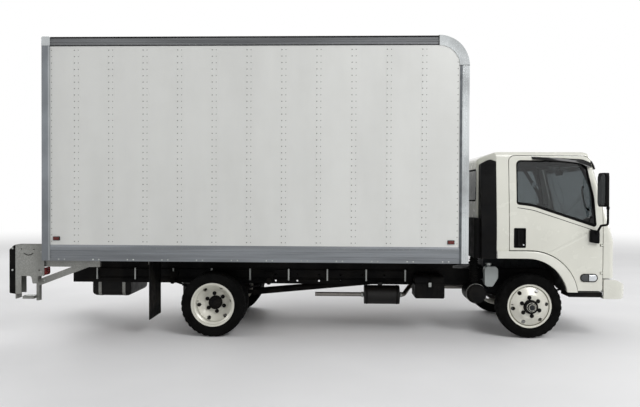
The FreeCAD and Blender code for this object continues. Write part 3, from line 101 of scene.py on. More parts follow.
class NodeBench:
    """One material's node tree, laid out with short words."""

    def __init__(self, name: str) -> None:
        """Makes the material with a bare surface shader and Object coordinates."""
        self.material = bpy.data.materials.new(name)
        self.material.use_nodes = True
        self.tree = self.material.node_tree
        self.tree.nodes.clear()
        self.shader = self.tree.nodes.new("ShaderNodeBsdfPrincipled")
        output = self.tree.nodes.new("ShaderNodeOutputMaterial")
        self.tree.links.new(self.shader.outputs[0], output.inputs[0])
        self.place = self.tree.nodes.new("ShaderNodeTexCoord").outputs["Object"]
        self.axes = self.tree.nodes.new("ShaderNodeSeparateXYZ")
        self.tree.links.new(self.place, self.axes.inputs[0])

    def give(self, socket: bpy.types.NodeSocket, value: object) -> None:
        """Links a socket or sets its value.

        Args:
            socket: Input to fill.
            value: Another node's output, or a plain value.
        """
        if isinstance(value, bpy.types.NodeSocket):
            self.tree.links.new(value, socket)
        else:
            socket.default_value = value

    def maths(self, operation: str, a: object, b: object = 0.0) -> bpy.types.NodeSocket:
        """Adds one sum.

        Args:
            operation: Kind of sum.
            a: First value or output.
            b: Second value or output.

        Returns:
            The sum's output.
        """
        node = self.tree.nodes.new("ShaderNodeMath")
        node.operation = operation
        self.give(node.inputs[0], a)
        self.give(node.inputs[1], b)
        return node.outputs[0]

    def ramp(self, value: object, low: float, high: float, start: float = 0.0, end: float = 1.0,
            soft: bool = True) -> bpy.types.NodeSocket:
        """Spreads a range of values over another.

        Args:
            value: Output to read.
            low: Value that gives start.
            high: Value that gives end.
            start: Result at low.
            end: Result at high.
            soft: Whether the change eases in and out.

        Returns:
            The spread value's output.
        """
        node = self.tree.nodes.new("ShaderNodeMapRange")
        node.interpolation_type = "SMOOTHSTEP" if soft else "LINEAR"
        self.give(node.inputs["Value"], value)
        for name, number in (("From Min", low), ("From Max", high), ("To Min", start), ("To Max", end)):
            node.inputs[name].default_value = number
        return node.outputs[0]

    def stretched(self, scale: Point) -> bpy.types.NodeSocket:
        """Scales the Object coordinates.

        Args:
            scale: Three factors.

        Returns:
            The scaled coordinates' output.
        """
        node = self.tree.nodes.new("ShaderNodeMapping")
        node.inputs["Scale"].default_value = scale
        self.tree.links.new(self.place, node.inputs["Vector"])
        return node.outputs[0]

    def noise(self, scale: float, detail: float = 2.0, stretch: Point = (1, 1, 1)) -> bpy.types.NodeSocket:
        """Adds cloudy noise.

        Args:
            scale: Features a metre.
            detail: Number of finer layers.
            stretch: How much closer the features lie along each axis.

        Returns:
            Noise from 0 to 1.
        """
        node = self.tree.nodes.new("ShaderNodeTexNoise")
        self.give(node.inputs["Vector"], self.stretched(stretch))
        node.inputs["Scale"].default_value = scale
        node.inputs["Detail"].default_value = detail
        return node.outputs[0]

    def cells(self, scale: float, feature: str = "F1", stretch: Point = (1, 1, 1)) -> bpy.types.Node:
        """Adds a pattern of cells.

        Args:
            scale: Cells a metre.
            feature: What is measured in a cell.
            stretch: How much closer the cells lie along each axis.

        Returns:
            The texture node.
        """
        node = self.tree.nodes.new("ShaderNodeTexVoronoi")
        node.feature = feature
        self.give(node.inputs["Vector"], self.stretched(stretch))
        node.inputs["Scale"].default_value = scale
        return node

    def waves(self, scale: float, axis: str) -> bpy.types.NodeSocket:
        """Adds even bands across one axis.

        Args:
            scale: Bands a metre, over about six.
            axis: X, Y or Z.

        Returns:
            Bands from 0 to 1.
        """
        node = self.tree.nodes.new("ShaderNodeTexWave")
        node.bands_direction = axis
        self.give(node.inputs["Vector"], self.place)
        node.inputs["Scale"].default_value = scale
        return node.outputs["Fac"]

    def between(self, factor: object, a: object, b: object) -> bpy.types.NodeSocket:
        """Mixes two colours.

        Args:
            factor: 0 for a, 1 for b.
            a: Colour or output.
            b: Colour or output.

        Returns:
            The mixed colour's output.
        """
        node = self.tree.nodes.new("ShaderNodeMix")
        node.data_type = "RGBA"
        self.give(node.inputs[0], factor)
        self.give(node.inputs[6], a)
        self.give(node.inputs[7], b)
        return node.outputs[2]

    def bump(self, height: object, depth: float) -> None:
        """Adds relief to the surface, over what it has.

        Args:
            height: Output from 0 to 1.
            depth: Metres from low to high.
        """
        node = self.tree.nodes.new("ShaderNodeBump")
        node.inputs["Distance"].default_value = depth
        self.give(node.inputs["Height"], height)
        normal = self.shader.inputs["Normal"]
        if normal.is_linked:
            self.tree.links.new(normal.links[0].from_socket, node.inputs["Normal"])
        self.tree.links.new(node.outputs[0], normal)


class Grain(Enum):
    """Fine relief that a finish has."""

    PAINT = "sprayed paint"
    SHEET = "painted sheet"
    BRUSHED = "drawn or brushed metal"
    SPANGLE = "zinc spangle"
    MOULDED = "moulded plastic"
    CAST = "cast or forged metal"
    RUBBER = "rubber"
    WEAVE = "woven cloth"
    TIMBER = "laminated boards"
    LENS = "prismed lens"
    CLEAR = "clear glass"


class Reach(Enum):
    """Measures that a two-tone finish can divide a node by."""

    ASIDE = "distance from the middle plane"
    HEIGHT = "height"
    FORWARD = "place along the truck"
    RADIUS = "distance from an axle line"


@dataclass(frozen=True)
class Zone:
    """Part of a node that takes a second finish: where a measure lies from low to high."""

    reach: Reach
    low: float
    high: float
    centre_x: float = 0.0

    def mask(self, bench: NodeBench) -> bpy.types.NodeSocket:
        """Builds the zone's mask.

        Args:
            bench: Node tree to build in.

        Returns:
            1 inside the zone and 0 outside.
        """
        axes = bench.axes.outputs
        if self.reach is Reach.ASIDE:
            value = bench.maths("ABSOLUTE", axes[1])
        elif self.reach is Reach.HEIGHT:
            value = axes[2]
        elif self.reach is Reach.FORWARD:
            value = axes[0]
        else:
            across = bench.maths("SUBTRACT", axes[0], self.centre_x)
            up = bench.maths("SUBTRACT", axes[2], AXLE_Z)
            square = bench.maths("ADD", bench.maths("MULTIPLY", across, across),
                bench.maths("MULTIPLY", up, up))
            value = bench.maths("SQRT", square)
        above = bench.maths("GREATER_THAN", value, self.low)
        below = bench.maths("LESS_THAN", value, self.high)
        return bench.maths("MULTIPLY", above, below)


@dataclass(frozen=True)
class Finish:
    """One surface finish of the truck, with its colour, gloss, grain, wear and road film."""

    name: str
    slot: str
    colour: str
    grain: Grain
    rough: float = 0.45
    metal: float = 0.0
    coat: float = 0.0
    shade: float = 0.10
    film: float = 0.0
    film_colour: str = "8A8272"
    through: float = 0.0
    second: Optional["Finish"] = None
    zones: tuple[Zone, ...] = ()

    def material(self) -> bpy.types.Material:
        """Builds the material, or returns it if it is there already."""
        name = "look_" + self.name
        found = bpy.data.materials.get(name)
        if found is not None:
            return found
        bench = NodeBench(name)
        colour = self.tinted(bench, linear(self.colour))
        rough = bench.ramp(bench.noise(9.0, 4.0), 0.3, 0.7, self.rough * 0.85, min(1.0, self.rough * 1.2))
        metal: object = self.metal
        if self.second is not None:
            mask = self.zones[0].mask(bench)
            for zone in self.zones[1:]:
                mask = bench.maths("MULTIPLY", mask, zone.mask(bench))
            colour = bench.between(mask, colour, self.second.tinted(bench, linear(self.second.colour)))
            rough = bench.ramp(mask, 0, 1, self.rough, self.second.rough, False)
            metal = bench.ramp(mask, 0, 1, self.metal, self.second.metal, False)
        if self.film > 0:
            colour = self.filmed(bench, colour)
        bench.give(bench.shader.inputs["Base Color"], colour)
        bench.give(bench.shader.inputs["Roughness"], rough)
        bench.give(bench.shader.inputs["Metallic"], metal)
        bench.shader.inputs["Coat Weight"].default_value = self.coat
        pale = sum(linear(self.colour)[:3]) > PALE_FROM
        bench.shader.inputs["Specular IOR Level"].default_value = 0.5 if pale else DARK_SPECULAR
        bench.shader.inputs["Coat Roughness"].default_value = 0.06
        bench.shader.inputs["Transmission Weight"].default_value = self.through
        self.relief(bench)
        return bench.material

    def tinted(self, bench: NodeBench, base: Point) -> bpy.types.NodeSocket:
        """Varies the colour as weather, drawing or casting does.

        Args:
            bench: Node tree to build in.
            base: The plain linear colour.

        Returns:
            The varied colour's output.
        """
        dark = tuple(c * (1 - self.shade) for c in base[:3]) + (1.0,)
        light = tuple(min(1.0, c * (1 + self.shade * 0.5) + 0.002) for c in base[:3]) + (1.0,)
        stretch = {Grain.BRUSHED: (0.3, 6, 6), Grain.SHEET: (1, 1, 0.25), Grain.TIMBER: (0.15, 5, 5)}
        cloud = bench.noise(2.2, 5.0, stretch.get(self.grain, (1, 1, 1)))
        colour = bench.between(bench.ramp(cloud, 0.32, 0.68), dark, light)
        if self.grain is Grain.SPANGLE:
            cells = bench.cells(70.0)
            worth = bench.maths("MULTIPLY", cells.outputs["Distance"], 1.4)
            colour = bench.between(bench.ramp(worth, 0.2, 0.9, 0.0, 0.55), colour,
                tuple(c * 0.6 for c in base[:3]) + (1.0,))
        if self.grain is Grain.WEAVE:
            weft = bench.maths("MULTIPLY", bench.waves(64.0, "Y"), bench.waves(64.0, "X"))
            colour = bench.between(bench.ramp(weft, 0.1, 0.8, 0.0, 0.6), colour,
                tuple(c * 0.45 for c in base[:3]) + (1.0,))
        if self.grain is Grain.TIMBER:
            joint = bench.maths("GREATER_THAN", bench.waves(5.2, "Y"), 0.985)
            colour = bench.between(joint, colour, tuple(c * 0.35 for c in base[:3]) + (1.0,))
        return colour

    def filmed(self, bench: NodeBench, colour: bpy.types.NodeSocket) -> bpy.types.NodeSocket:
        """Lays road film over the colour, thicker near the ground.

        Args:
            bench: Node tree to build in.
            colour: Output to lay it over.

        Returns:
            The filmed colour's output.
        """
        height = bench.ramp(bench.axes.outputs[2], 0.1, 1.5, 1.0, 0.25)
        patch = bench.ramp(bench.noise(6.0, 6.0), 0.38, 0.72)
        amount = bench.maths("MULTIPLY", bench.maths("MULTIPLY", height, patch), self.film)
        return bench.between(amount, colour, linear(self.film_colour))

    def relief(self, bench: NodeBench) -> None:
        """Adds the grain's relief at its real size.

        Args:
            bench: Node tree to build in.
        """
        if self.grain is Grain.PAINT:
            bench.bump(bench.noise(260.0, 2.0), 0.00012)
        elif self.grain is Grain.SHEET:
            bench.bump(bench.noise(2.6, 2.0), 0.0035)
            bench.bump(bench.noise(300.0, 2.0), 0.0001)
        elif self.grain is Grain.BRUSHED:
            bench.bump(bench.noise(90.0, 3.0, (0.02, 1, 1)), 0.0005)
            bench.bump(bench.noise(500.0, 2.0, (0.01, 1, 1)), 0.00015)
        elif self.grain is Grain.SPANGLE:
            bench.bump(bench.cells(70.0).outputs["Distance"], 0.0003)
            bench.bump(bench.noise(35.0, 4.0), 0.0012)
        elif self.grain is Grain.MOULDED:
            bench.bump(bench.cells(420.0, "SMOOTH_F1").outputs["Distance"], 0.0003)
        elif self.grain is Grain.CAST:
            bench.bump(bench.noise(140.0, 4.0), 0.0012)
        elif self.grain is Grain.RUBBER:
            bench.bump(bench.noise(220.0, 3.0), 0.0005)
            bench.bump(bench.noise(24.0, 3.0), 0.001)
        elif self.grain is Grain.WEAVE:
            weave = bench.maths("MULTIPLY", bench.waves(64.0, "Y"), bench.waves(64.0, "X"))
            bench.bump(weave, 0.0009)
            bench.bump(bench.noise(900.0, 2.0), 0.0003)
        elif self.grain is Grain.TIMBER:
            bench.bump(bench.noise(60.0, 4.0, (0.05, 1, 1)), 0.0008)
            bench.bump(bench.maths("LESS_THAN", bench.waves(5.2, "Y"), 0.985), 0.0015)
        elif self.grain is Grain.LENS:
            prisms = bench.maths("MULTIPLY", bench.waves(28.0, "Z"), bench.waves(28.0, "Y"))
            bench.bump(prisms, 0.0012)
        else:
            bench.bump(bench.noise(3.0, 1.0), 0.0004)


BLACK_PLASTIC = Finish("black_plastic", "black_plastic", "0A0A0B", Grain.MOULDED, 0.5, shade=0.2, film=0.03)
GLOSS_BLACK = Finish("gloss_black", "black_plastic", "060607", Grain.PAINT, 0.14, coat=0.4, shade=0.1)
BLACK_RUBBER = Finish("black_rubber", "rubber_black", "0A0A0A", Grain.RUBBER, 0.75, shade=0.25, film=0.02)
TYRE = Finish("tyre_rubber", "tyre_rubber", "050505", Grain.RUBBER, 0.85, shade=0.25, film=0.02,
    film_colour="3A372F")
FLAP = Finish("flap_rubber", "rubber_black", "101011", Grain.RUBBER, 0.7, shade=0.3, film=0.08)
CHASSIS = Finish("chassis_black", "chassis_black", "0B0B0C", Grain.PAINT, 0.5, shade=0.3, film=0.03)
SPRING = Finish("spring_steel", "spring_steel", "101011", Grain.CAST, 0.6, metal=0.1, shade=0.3, film=0.05)
AXLE = Finish("axle_black", "axle_black", "0D0D0E", Grain.CAST, 0.6, shade=0.3, film=0.05)
ENGINE = Finish("engine_grey", "engine_grey", "2E3032", Grain.CAST, 0.55, metal=0.4, shade=0.3, film=0.05)
TANK = Finish("tank_black", "tank_black", "0A0A0B", Grain.PAINT, 0.42, coat=0.1, shade=0.25, film=0.03)
DRUM_DARK = Finish("silencer_drum", "silencer_steel", "191817", Grain.SPANGLE, 0.5, metal=0.5, shade=0.4)
SILENCER = Finish("silencer_steel", "silencer_steel", "8F8C86", Grain.SPANGLE, 0.38, metal=0.85, shade=0.3,
    second=DRUM_DARK, zones=(Zone(Reach.FORWARD, 0.57, 1.03),))
BOTTLE = Finish("bottle_white", "bottle_white", "A9AFAE", Grain.MOULDED, 0.35, shade=0.15, film=0.1,
    through=0.15)
ZINC = Finish("galvanised_steel", "galvanised_steel", "92938F", Grain.SPANGLE, 0.42, metal=0.65, shade=0.25,
    film=0.12)
ZINC_BOLT = Finish("zinc_bolts", "galvanised_steel", "A8ABA8", Grain.CAST, 0.35, metal=0.9, shade=0.2)
RED_LENS = Finish("red_lens", "lamp_red", "8E0F0C", Grain.LENS, 0.14, coat=0.8, shade=0.15)
MARKER_LENS = Finish("marker_lens", "lamp_red", "5A1208", Grain.LENS, 0.16, coat=0.8, shade=0.15)
AMBER_LENS = Finish("amber_lens", "lamp_red", "C8650A", Grain.LENS, 0.14, coat=0.8, shade=0.15)
CLEAR_LENS = Finish("clear_lens", "tinted_glass", "E9EEEE", Grain.CLEAR, 0.04, through=1.0, shade=0.02)
SMOKED_LENS = Finish("smoked_lens", "black_plastic", "3B3E40", Grain.LENS, 0.12, coat=0.8, shade=0.2)
WOOD = Finish("wood_floor", "wood_floor", "8C6A45", Grain.TIMBER, 0.55, shade=0.25)
BODY_WHITE = Finish("body_white", "body_white", "D3D4D1", Grain.SHEET, 0.34, coat=0.15, shade=0.045, film=0.10)
DOOR_WHITE = Finish("rear_door_white", "body_white", "DCDDD9", Grain.PAINT, 0.4, shade=0.06, film=0.16)
RIVET = Finish("rivet_heads", "body_white", "858883", Grain.PAINT, 0.4, metal=0.3, shade=0.2)
# A darker copy of the rails' mill aluminium, painted on the top rail above 2.5 m as shade.
RAIL_PAINTED_SHADE = Finish("rail_painted_shade", "mill_aluminium", "686A6C", Grain.BRUSHED, 0.5, metal=0.3, shade=0.3)
RAIL = Finish("mill_aluminium", "mill_aluminium", "7E8286", Grain.BRUSHED, 0.42, metal=0.5, shade=0.25,
    film=0.06, second=RAIL_PAINTED_SHADE, zones=(Zone(Reach.HEIGHT, 2.5, 4.0),))
# A darker copy of the post's metal, painted on the front post from x 1.640 to 1.676 as a stripe of reflection
# and shade.
POST_PAINTED_REFLECTION = Finish("post_painted_reflection", "frame_steel", "54585B", Grain.BRUSHED, 0.4, metal=0.5, shade=0.3)
POLISHED = Finish("polished_aluminium", "polished_aluminium", "C3C7C8", Grain.PAINT, 0.2, metal=0.92, shade=0.3,
    second=POST_PAINTED_REFLECTION, zones=(Zone(Reach.FORWARD, 1.640, 1.676), Zone(Reach.HEIGHT, 0.8, 3.214)))
POST_EDGE = Finish("post_edge", "frame_steel", "9FA3A5", Grain.PAINT, 0.35, metal=0.6, shade=0.15)
FRAME_STEEL = Finish("frame_steel", "frame_steel", "7A7F84", Grain.PAINT, 0.34, metal=0.45, coat=0.3,
    shade=0.25, film=0.08)
CAB_WHITE = Finish("cab_white", "cab_white", "D3D3C9", Grain.PAINT, 0.24, coat=0.5, shade=0.03, film=0.05)
ARCH = Finish("arch_white", "cab_white", "D6D6CD", Grain.PAINT, 0.28, coat=0.3, shade=0.04, film=0.12,
    second=BLACK_PLASTIC, zones=(Zone(Reach.ASIDE, 0.0, 0.99),))
GLASS = Finish("tinted_glass", "tinted_glass", "8A9193", Grain.CLEAR, 0.02, through=1.0, shade=0.02)
INTERIOR = Finish("interior_grey", "interior_grey", "3E4143", Grain.MOULDED, 0.6, shade=0.12)
INTERIOR_DARK = Finish("interior_dark", "interior_grey", "17181A", Grain.MOULDED, 0.55, shade=0.15)
CLOTH = Finish("seat_cloth", "seat_cloth", "3B4046", Grain.WEAVE, 0.9, shade=0.15)
BELT = Finish("belt_webbing", "seat_cloth", "101113", Grain.WEAVE, 0.8, shade=0.1)
DRUM = Finish("drum_iron", "axle_black", "241F1C", Grain.CAST, 0.7, metal=0.3, shade=0.4)
FRONT_WHEEL = Finish("front_wheel_silver", "wheel_silver", "D8D7CC", Grain.PAINT, 0.34, metal=0.1, coat=0.3,
    shade=0.08, film=0.25, second=DRUM, zones=(Zone(Reach.RADIUS, 0.0, 0.2, FRONT_AXLE),
        Zone(Reach.ASIDE, 0.0, 0.888)))
REAR_WHEEL = Finish("rear_wheel_silver", "wheel_silver", "D8D7CC", Grain.PAINT, 0.34, metal=0.1, coat=0.3,
    shade=0.08, film=0.25, second=DRUM, zones=(Zone(Reach.RADIUS, 0.0, 0.2, REAR_AXLE),
        Zone(Reach.ASIDE, 0.0, 0.80)))
CHROME = Finish("bright_chrome", "polished_aluminium", "D5D8DA", Grain.PAINT, 0.08, metal=1.0, shade=0.03)
# Dark colour painted into seams, joints and pressings as their shade.
SEAM_SHADOW = Finish("seam_shadow", "cab_white", "3C3D3B", Grain.PAINT, 0.5, shade=0.1)
REFLECTOR = Finish("lamp_reflector", "polished_aluminium", "CFD3D6", Grain.LENS, 0.10, metal=0.85, shade=0.05)
MIRROR = Finish("mirror_glass", "tinted_glass", "E6E9EA", Grain.CLEAR, 0.03, metal=1.0, shade=0.01)


# Modelling bench


def set_down() -> None:
    """Leaves edit mode and deselects every object."""
    if bpy.context.object is not None and bpy.context.object.mode != "OBJECT":
        bpy.ops.object.mode_set(mode="OBJECT")
    bpy.ops.object.select_all(action="DESELECT")


def arced(points: Sequence[Point], steps: int = 5) -> list[tuple[float, float]]:
    """Rounds the corners of an outline.

    Args:
        points: Corners as (a, b) or (a, b, radius).
        steps: Straight pieces in each round corner.

    Returns:
        The outline's points.
    """
    result: list[tuple[float, float]] = []
    count = len(points)
    for i, point in enumerate(points):
        here = Vector(point[:2])
        radius = point[2] if len(point) > 2 else 0.0
        if radius <= 0:
            result.append((here.x, here.y))
            continue
        back = (Vector(points[i - 1][:2]) - here).normalized()
        on = (Vector(points[(i + 1) % count][:2]) - here).normalized()
        half = back.angle(on) / 2
        start = here + back * (radius / math.tan(half))
        end = here + on * (radius / math.tan(half))
        centre = here + (back + on).normalized() * (radius / math.sin(half))
        for k in range(steps + 1):
            way = (start - centre).lerp(end - centre, k / steps).normalized()
            spot = centre + way * radius
            result.append((spot.x, spot.y))
    return result


def oblong(a0: float, b0: float, a1: float, b1: float, radius: float) -> list[Point]:
    """Returns the corners of a rectangle that share one radius."""
    return [(a0, b0, radius), (a0, b1, radius), (a1, b1, radius), (a1, b0, radius)]


def across(x: float) -> Callable[[float, float], Point]:
    """Returns a function that places (y, z) pairs on a plane across the truck."""
    return lambda a, b: (x, a, b)


def along(y: float, start: float = 0.0) -> Callable[[float, float], Point]:
    """Returns a function that places (x, z) pairs on a plane along the truck, counted from a start."""
    return lambda a, b: (start + a, y, b)


class Work:
    """A mesh on the bench, shaped by hand moves."""

    def __init__(self, name: str) -> None:
        """Names the primitive just added and sets its place in its mesh."""
        self.obj = bpy.context.object
        self.obj.name = name
        self.obj.data.name = name
        bpy.ops.object.transform_apply(location=True, rotation=True, scale=True)

    @classmethod
    def cube(cls, name: str, low: Point, high: Point, edge: float = 0.0, segments: int = 2) -> "Work":
        """Starts from a cube at its size and place.

        Args:
            name: Piece name.
            low: One corner.
            high: The opposite corner.
            edge: Bevel of every edge.
            segments: Faces across that bevel.

        Returns:
            The piece on the bench.
        """
        set_down()
        size = [abs(b - a) for a, b in zip(low, high)]
        middle = [(a + b) / 2 for a, b in zip(low, high)]
        bpy.ops.mesh.primitive_cube_add(size=1, location=middle, scale=size)
        work = cls(name)
        return work.bevel(edge, segments) if edge else work

    @classmethod
    def rod(cls, name: str, start: Point, end: Point, radius: float, tip: Optional[float] = None,
            sides: int = 20, edge: float = 0.0) -> "Work":
        """Starts from a cylinder or cone between two points.

        Args:
            name: Piece name.
            start: Centre of its first end.
            end: Centre of its second end.
            radius: Radius at start.
            tip: Radius at end, if it differs.
            sides: Faces round it.
            edge: Bevel of its two rims.

        Returns:
            The piece on the bench.
        """
        set_down()
        a, b = Vector(start), Vector(end)
        way = b - a
        bpy.ops.mesh.primitive_cone_add(vertices=sides, radius1=radius, radius2=radius if tip is None else tip,
            depth=way.length, location=(a + b) / 2, rotation=way.to_track_quat("Z", "Y").to_euler())
        work = cls(name)
        if edge:
            work.pick_edges(lambda p, d: abs(d.dot(way.normalized())) < 0.1).cut_bevel(edge, 2)
        return work

    @classmethod
    def flat(cls, name: str, points: Sequence[Point], place: Callable[[float, float], Point],
            closed: bool = True) -> "Work":
        """Starts from a flat outline, dragged into shape from a ring of points.

        Args:
            name: Piece name.
            points: Outline as (a, b) pairs.
            place: Gives a pair's place in space.
            closed: Whether it has a face, or only its edge.

        Returns:
            The piece on the bench.
        """
        set_down()
        bpy.ops.mesh.primitive_circle_add(vertices=len(points), radius=1, fill_type="NGON" if closed
            else "NOTHING")
        work = cls(name)
        for vertex, pair in zip(work.obj.data.vertices, points):
            vertex.co = place(*pair)
        work.obj.data.update()
        return work

    @classmethod
    def slab(cls, name: str, points: Sequence[Point], place: Callable[[float, float], Point], way: Point,
            edge: float = 0.0) -> "Work":
        """Makes an outline into a solid.

        Args:
            name: Piece name.
            points: Outline with optional corner radii.
            place: Gives a pair's place in space.
            way: How far it is drawn out.
            edge: Bevel of its sharp edges.

        Returns:
            The piece on the bench.
        """
        work = cls.flat(name, arced(points), place).pick().extrude(way).outward()
        if edge:
            axis = Vector(way).normalized()
            work.pick_edges(lambda p, d: abs(d.dot(axis)) < 0.5).cut_bevel(edge, 2)
        return work

    @classmethod
    def band(cls, name: str, points: Sequence[Point], width: float, place: Callable[[float, float], Point],
            way: Point) -> "Work":
        """Makes a rim that runs inside an outline.

        Args:
            name: Piece name.
            points: Outline with optional corner radii.
            width: The rim's width.
            place: Gives a pair's place in space.
            way: How far it is drawn out.

        Returns:
            The piece on the bench.
        """
        work = cls.flat(name, arced(points), lambda a, b: (a, 0, b)).pick(lambda p, n: True).inset(width)
        bpy.ops.mesh.delete(type="FACE")
        return work.lay(lambda p: place(p.x, p.z)).pick().extrude(way).outward()

    @classmethod
    def turned(cls, name: str, profile: Sequence[Point], centre: Point, outward: int = 1,
            steps: int = 48) -> "Work":
        """Spins a half section about an axle line.

        Args:
            name: Piece name.
            profile: Points as (outward, radius), optionally with a corner radius.
            centre: Point on the axle line at outward 0.
            outward: Side that outward grows towards.
            steps: Faces round it.

        Returns:
            The piece on the bench.
        """
        x, y, z = centre
        work = cls.flat(name, arced(profile, 3), lambda o, r: (x, y + outward * o, z + r), False)
        work.pick()
        bpy.ops.mesh.spin(steps=steps, angle=math.tau, center=centre, axis=(0, 1, 0))
        bpy.ops.mesh.select_all(action="SELECT")
        bpy.ops.mesh.remove_doubles(threshold=0.00002)
        bpy.ops.mesh.delete_loose()
        return work.outward()

    @classmethod
    def tube(cls, name: str, points: Sequence[Point], radius: float, flat: float = 0.0) -> "Work":
        """Bends a pipe or bar along a smooth line.

        Args:
            name: Piece name.
            points: Control points.
            radius: Half its thickness.
            flat: How far a strap is drawn out to each side, or 0 for a round bar.

        Returns:
            The piece on the bench.
        """
        set_down()
        bpy.ops.curve.primitive_nurbs_path_add(radius=1)
        curve = bpy.context.object.data
        curve.splines.clear()
        spline = curve.splines.new("NURBS")
        spline.points.add(len(points) - 1)
        for spot, point in zip(spline.points, points):
            spot.co = (*point, 1.0)
        spline.order_u = 3
        spline.use_endpoint_u = True
        spline.resolution_u = 6
        curve.dimensions = "3D"
        curve.bevel_depth = radius
        curve.bevel_resolution = 3
        curve.extrude = flat
        curve.use_fill_caps = True
        bpy.ops.object.convert(target="MESH")
        return cls(name)

    def edit(self, mode: str = "FACE") -> bmesh.types.BMesh:
        """Opens the mesh for editing.

        Args:
            mode: What is selected: FACE, EDGE or VERT.

        Returns:
            The open mesh.
        """
        if bpy.context.object is not self.obj or self.obj.mode != "EDIT":
            set_down()
            self.obj.select_set(True)
            bpy.context.view_layer.objects.active = self.obj
            bpy.ops.object.mode_set(mode="EDIT")
        bpy.ops.mesh.select_mode(type=mode)
        bpy.ops.mesh.select_all(action="DESELECT")
        return bmesh.from_edit_mesh(self.obj.data)

    def pick(self, test: Optional[Test] = None) -> "Work":
        """Selects faces, or all there is.

        Args:
            test: Says by centre and normal whether a face is wanted.

        Returns:
            The same piece.
        """
        mesh = self.edit("FACE" if test else "VERT")
        if test is None:
            bpy.ops.mesh.select_all(action="SELECT")
            return self
        for face in mesh.faces:
            if test(face.calc_center_median(), face.normal):
                face.select_set(True)
        bmesh.update_edit_mesh(self.obj.data)
        return self

    def pick_edges(self, test: Test) -> "Work":
        """Selects edges by middle and direction.

        Args:
            test: Says whether an edge is wanted.

        Returns:
            The same piece.
        """
        mesh = self.edit("EDGE")
        for edge in mesh.edges:
            a, b = edge.verts[0].co, edge.verts[1].co
            if (b - a).length > 1e-9 and test((a + b) / 2, (b - a).normalized()):
                edge.select_set(True)
        bmesh.update_edit_mesh(self.obj.data)
        return self

    def extrude(self, way: Point) -> "Work":
        """Draws the selection out, and returns the piece."""
        bpy.ops.mesh.extrude_region_move(TRANSFORM_OT_translate={"value": way})
        return self

    def inset(self, thickness: float, depth: float = 0.0) -> "Work":
        """Insets the selected faces, and returns the piece."""
        bpy.ops.mesh.inset(thickness=thickness, depth=depth)
        return self

    def cut_bevel(self, width: float, segments: int = 2) -> "Work":
        """Bevels the selected edges, and returns the piece."""
        bpy.ops.mesh.bevel(offset=width, segments=segments, affect="EDGES", clamp_overlap=True)
        return self

    def bevel(self, width: float, segments: int = 2) -> "Work":
        """Bevels every edge, and returns the piece."""
        return self.pick_edges(lambda p, d: True).cut_bevel(width, segments)

    def sharp_bevel(self, width: float, segments: int = 2, angle: float = 35.0) -> "Work":
        """Bevels the edges that turn sharply.

        Args:
            width: Bevel width.
            segments: Faces across it.
            angle: Least turn in degrees.

        Returns:
            The same piece.
        """
        return self.modify("BEVEL", width=width, segments=segments, limit_method="ANGLE",
            angle_limit=math.radians(angle), harden_normals=False)

    def cut(self, point: Point, normal: Point, drop: bool = False) -> "Work":
        """Slices the mesh with a plane.

        Args:
            point: Point on the plane.
            normal: The plane's normal.
            drop: Whether the part that the normal points to is taken off and the cut closed.

        Returns:
            The same piece.
        """
        self.pick()
        bpy.ops.mesh.bisect(plane_co=point, plane_no=normal, clear_outer=drop, use_fill=drop)
        return self

    def outward(self) -> "Work":
        """Turns every face outwards, and returns the piece."""
        self.pick()
        bpy.ops.mesh.normals_make_consistent(inside=False)
        return self

    def modify(self, kind: str, **values: object) -> "Work":
        """Adds a modifier and applies it.

        Args:
            kind: Kind of modifier.
            values: Its settings.

        Returns:
            The same piece.
        """
        self.hold()
        modifier = self.obj.modifiers.new(kind.lower(), kind)
        for key, value in values.items():
            setattr(modifier, key, value)
        bpy.ops.object.modifier_apply(modifier=modifier.name)
        return self

    def hold(self) -> "Work":
        """Makes this the only selected object, out of edit mode, and returns the piece."""
        set_down()
        self.obj.select_set(True)
        bpy.context.view_layer.objects.active = self.obj
        return self

    def row(self, count: int, step: Point) -> "Work":
        """Repeats the piece in a straight row.

        Args:
            count: How many there are.
            step: Way from one to the next.

        Returns:
            The same piece.
        """
        return self.modify("ARRAY", count=count, use_relative_offset=False, use_constant_offset=True,
            constant_offset_displace=step)

    def ring(self, count: int, centre: Point, axis: Point = (0, 1, 0)) -> "Work":
        """Repeats the piece round an axis.

        Args:
            count: How many there are.
            centre: Point on the axis.
            axis: Direction of the axis.

        Returns:
            The same piece.
        """
        self.pick()
        bpy.ops.mesh.spin(steps=count - 1, dupli=True, angle=math.tau * (count - 1) / count, center=centre,
            axis=axis)
        return self

    def lay(self, place: Callable[[Vector], Point]) -> "Work":
        """Moves every point to where a surface carries it.

        Args:
            place: Gives a point's new place.

        Returns:
            The same piece.
        """
        set_down()
        for vertex in self.obj.data.vertices:
            vertex.co = place(vertex.co)
        self.obj.data.update()
        return self

    def join(self, *others: "Work") -> "Work":
        """Joins other pieces into this one.

        Args:
            others: Pieces to take in.

        Returns:
            The same piece.
        """
        self.hold()
        for other in others:
            other.obj.select_set(True)
        bpy.ops.object.join()
        return self

    def opposite(self, name: str) -> "Work":
        """Copies the piece to the other side of the truck.

        Args:
            name: The copy's name.

        Returns:
            The copy.
        """
        self.hold()
        bpy.ops.object.duplicate()
        copy = Work(name)
        copy.pick()
        bpy.ops.transform.resize(value=(1, -1, 1), center_override=(0, 0, 0))
        return copy.outward()

    def dress(self, finish: Finish, body: str, angle: float = 32.0, *nodes: str) -> bpy.types.Object:
        """Smooths the piece, gives it its finish and lets it ride.

        Args:
            finish: Its finish.
            body: CAD body that carries it.
            angle: Largest turn in degrees that shades smooth.
            nodes: CAD nodes that it stands for.

        Returns:
            The finished object.
        """
        self.hold()
        bpy.ops.object.shade_smooth_by_angle(angle=math.radians(angle))
        self.obj.data.materials.clear()
        self.obj.data.materials.append(finish.material())
        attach(self.obj, body)
        if nodes:
            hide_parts(*nodes)
        LOG.info("%s on %s, %s", self.obj.name, body, finish.name)
        return self.obj


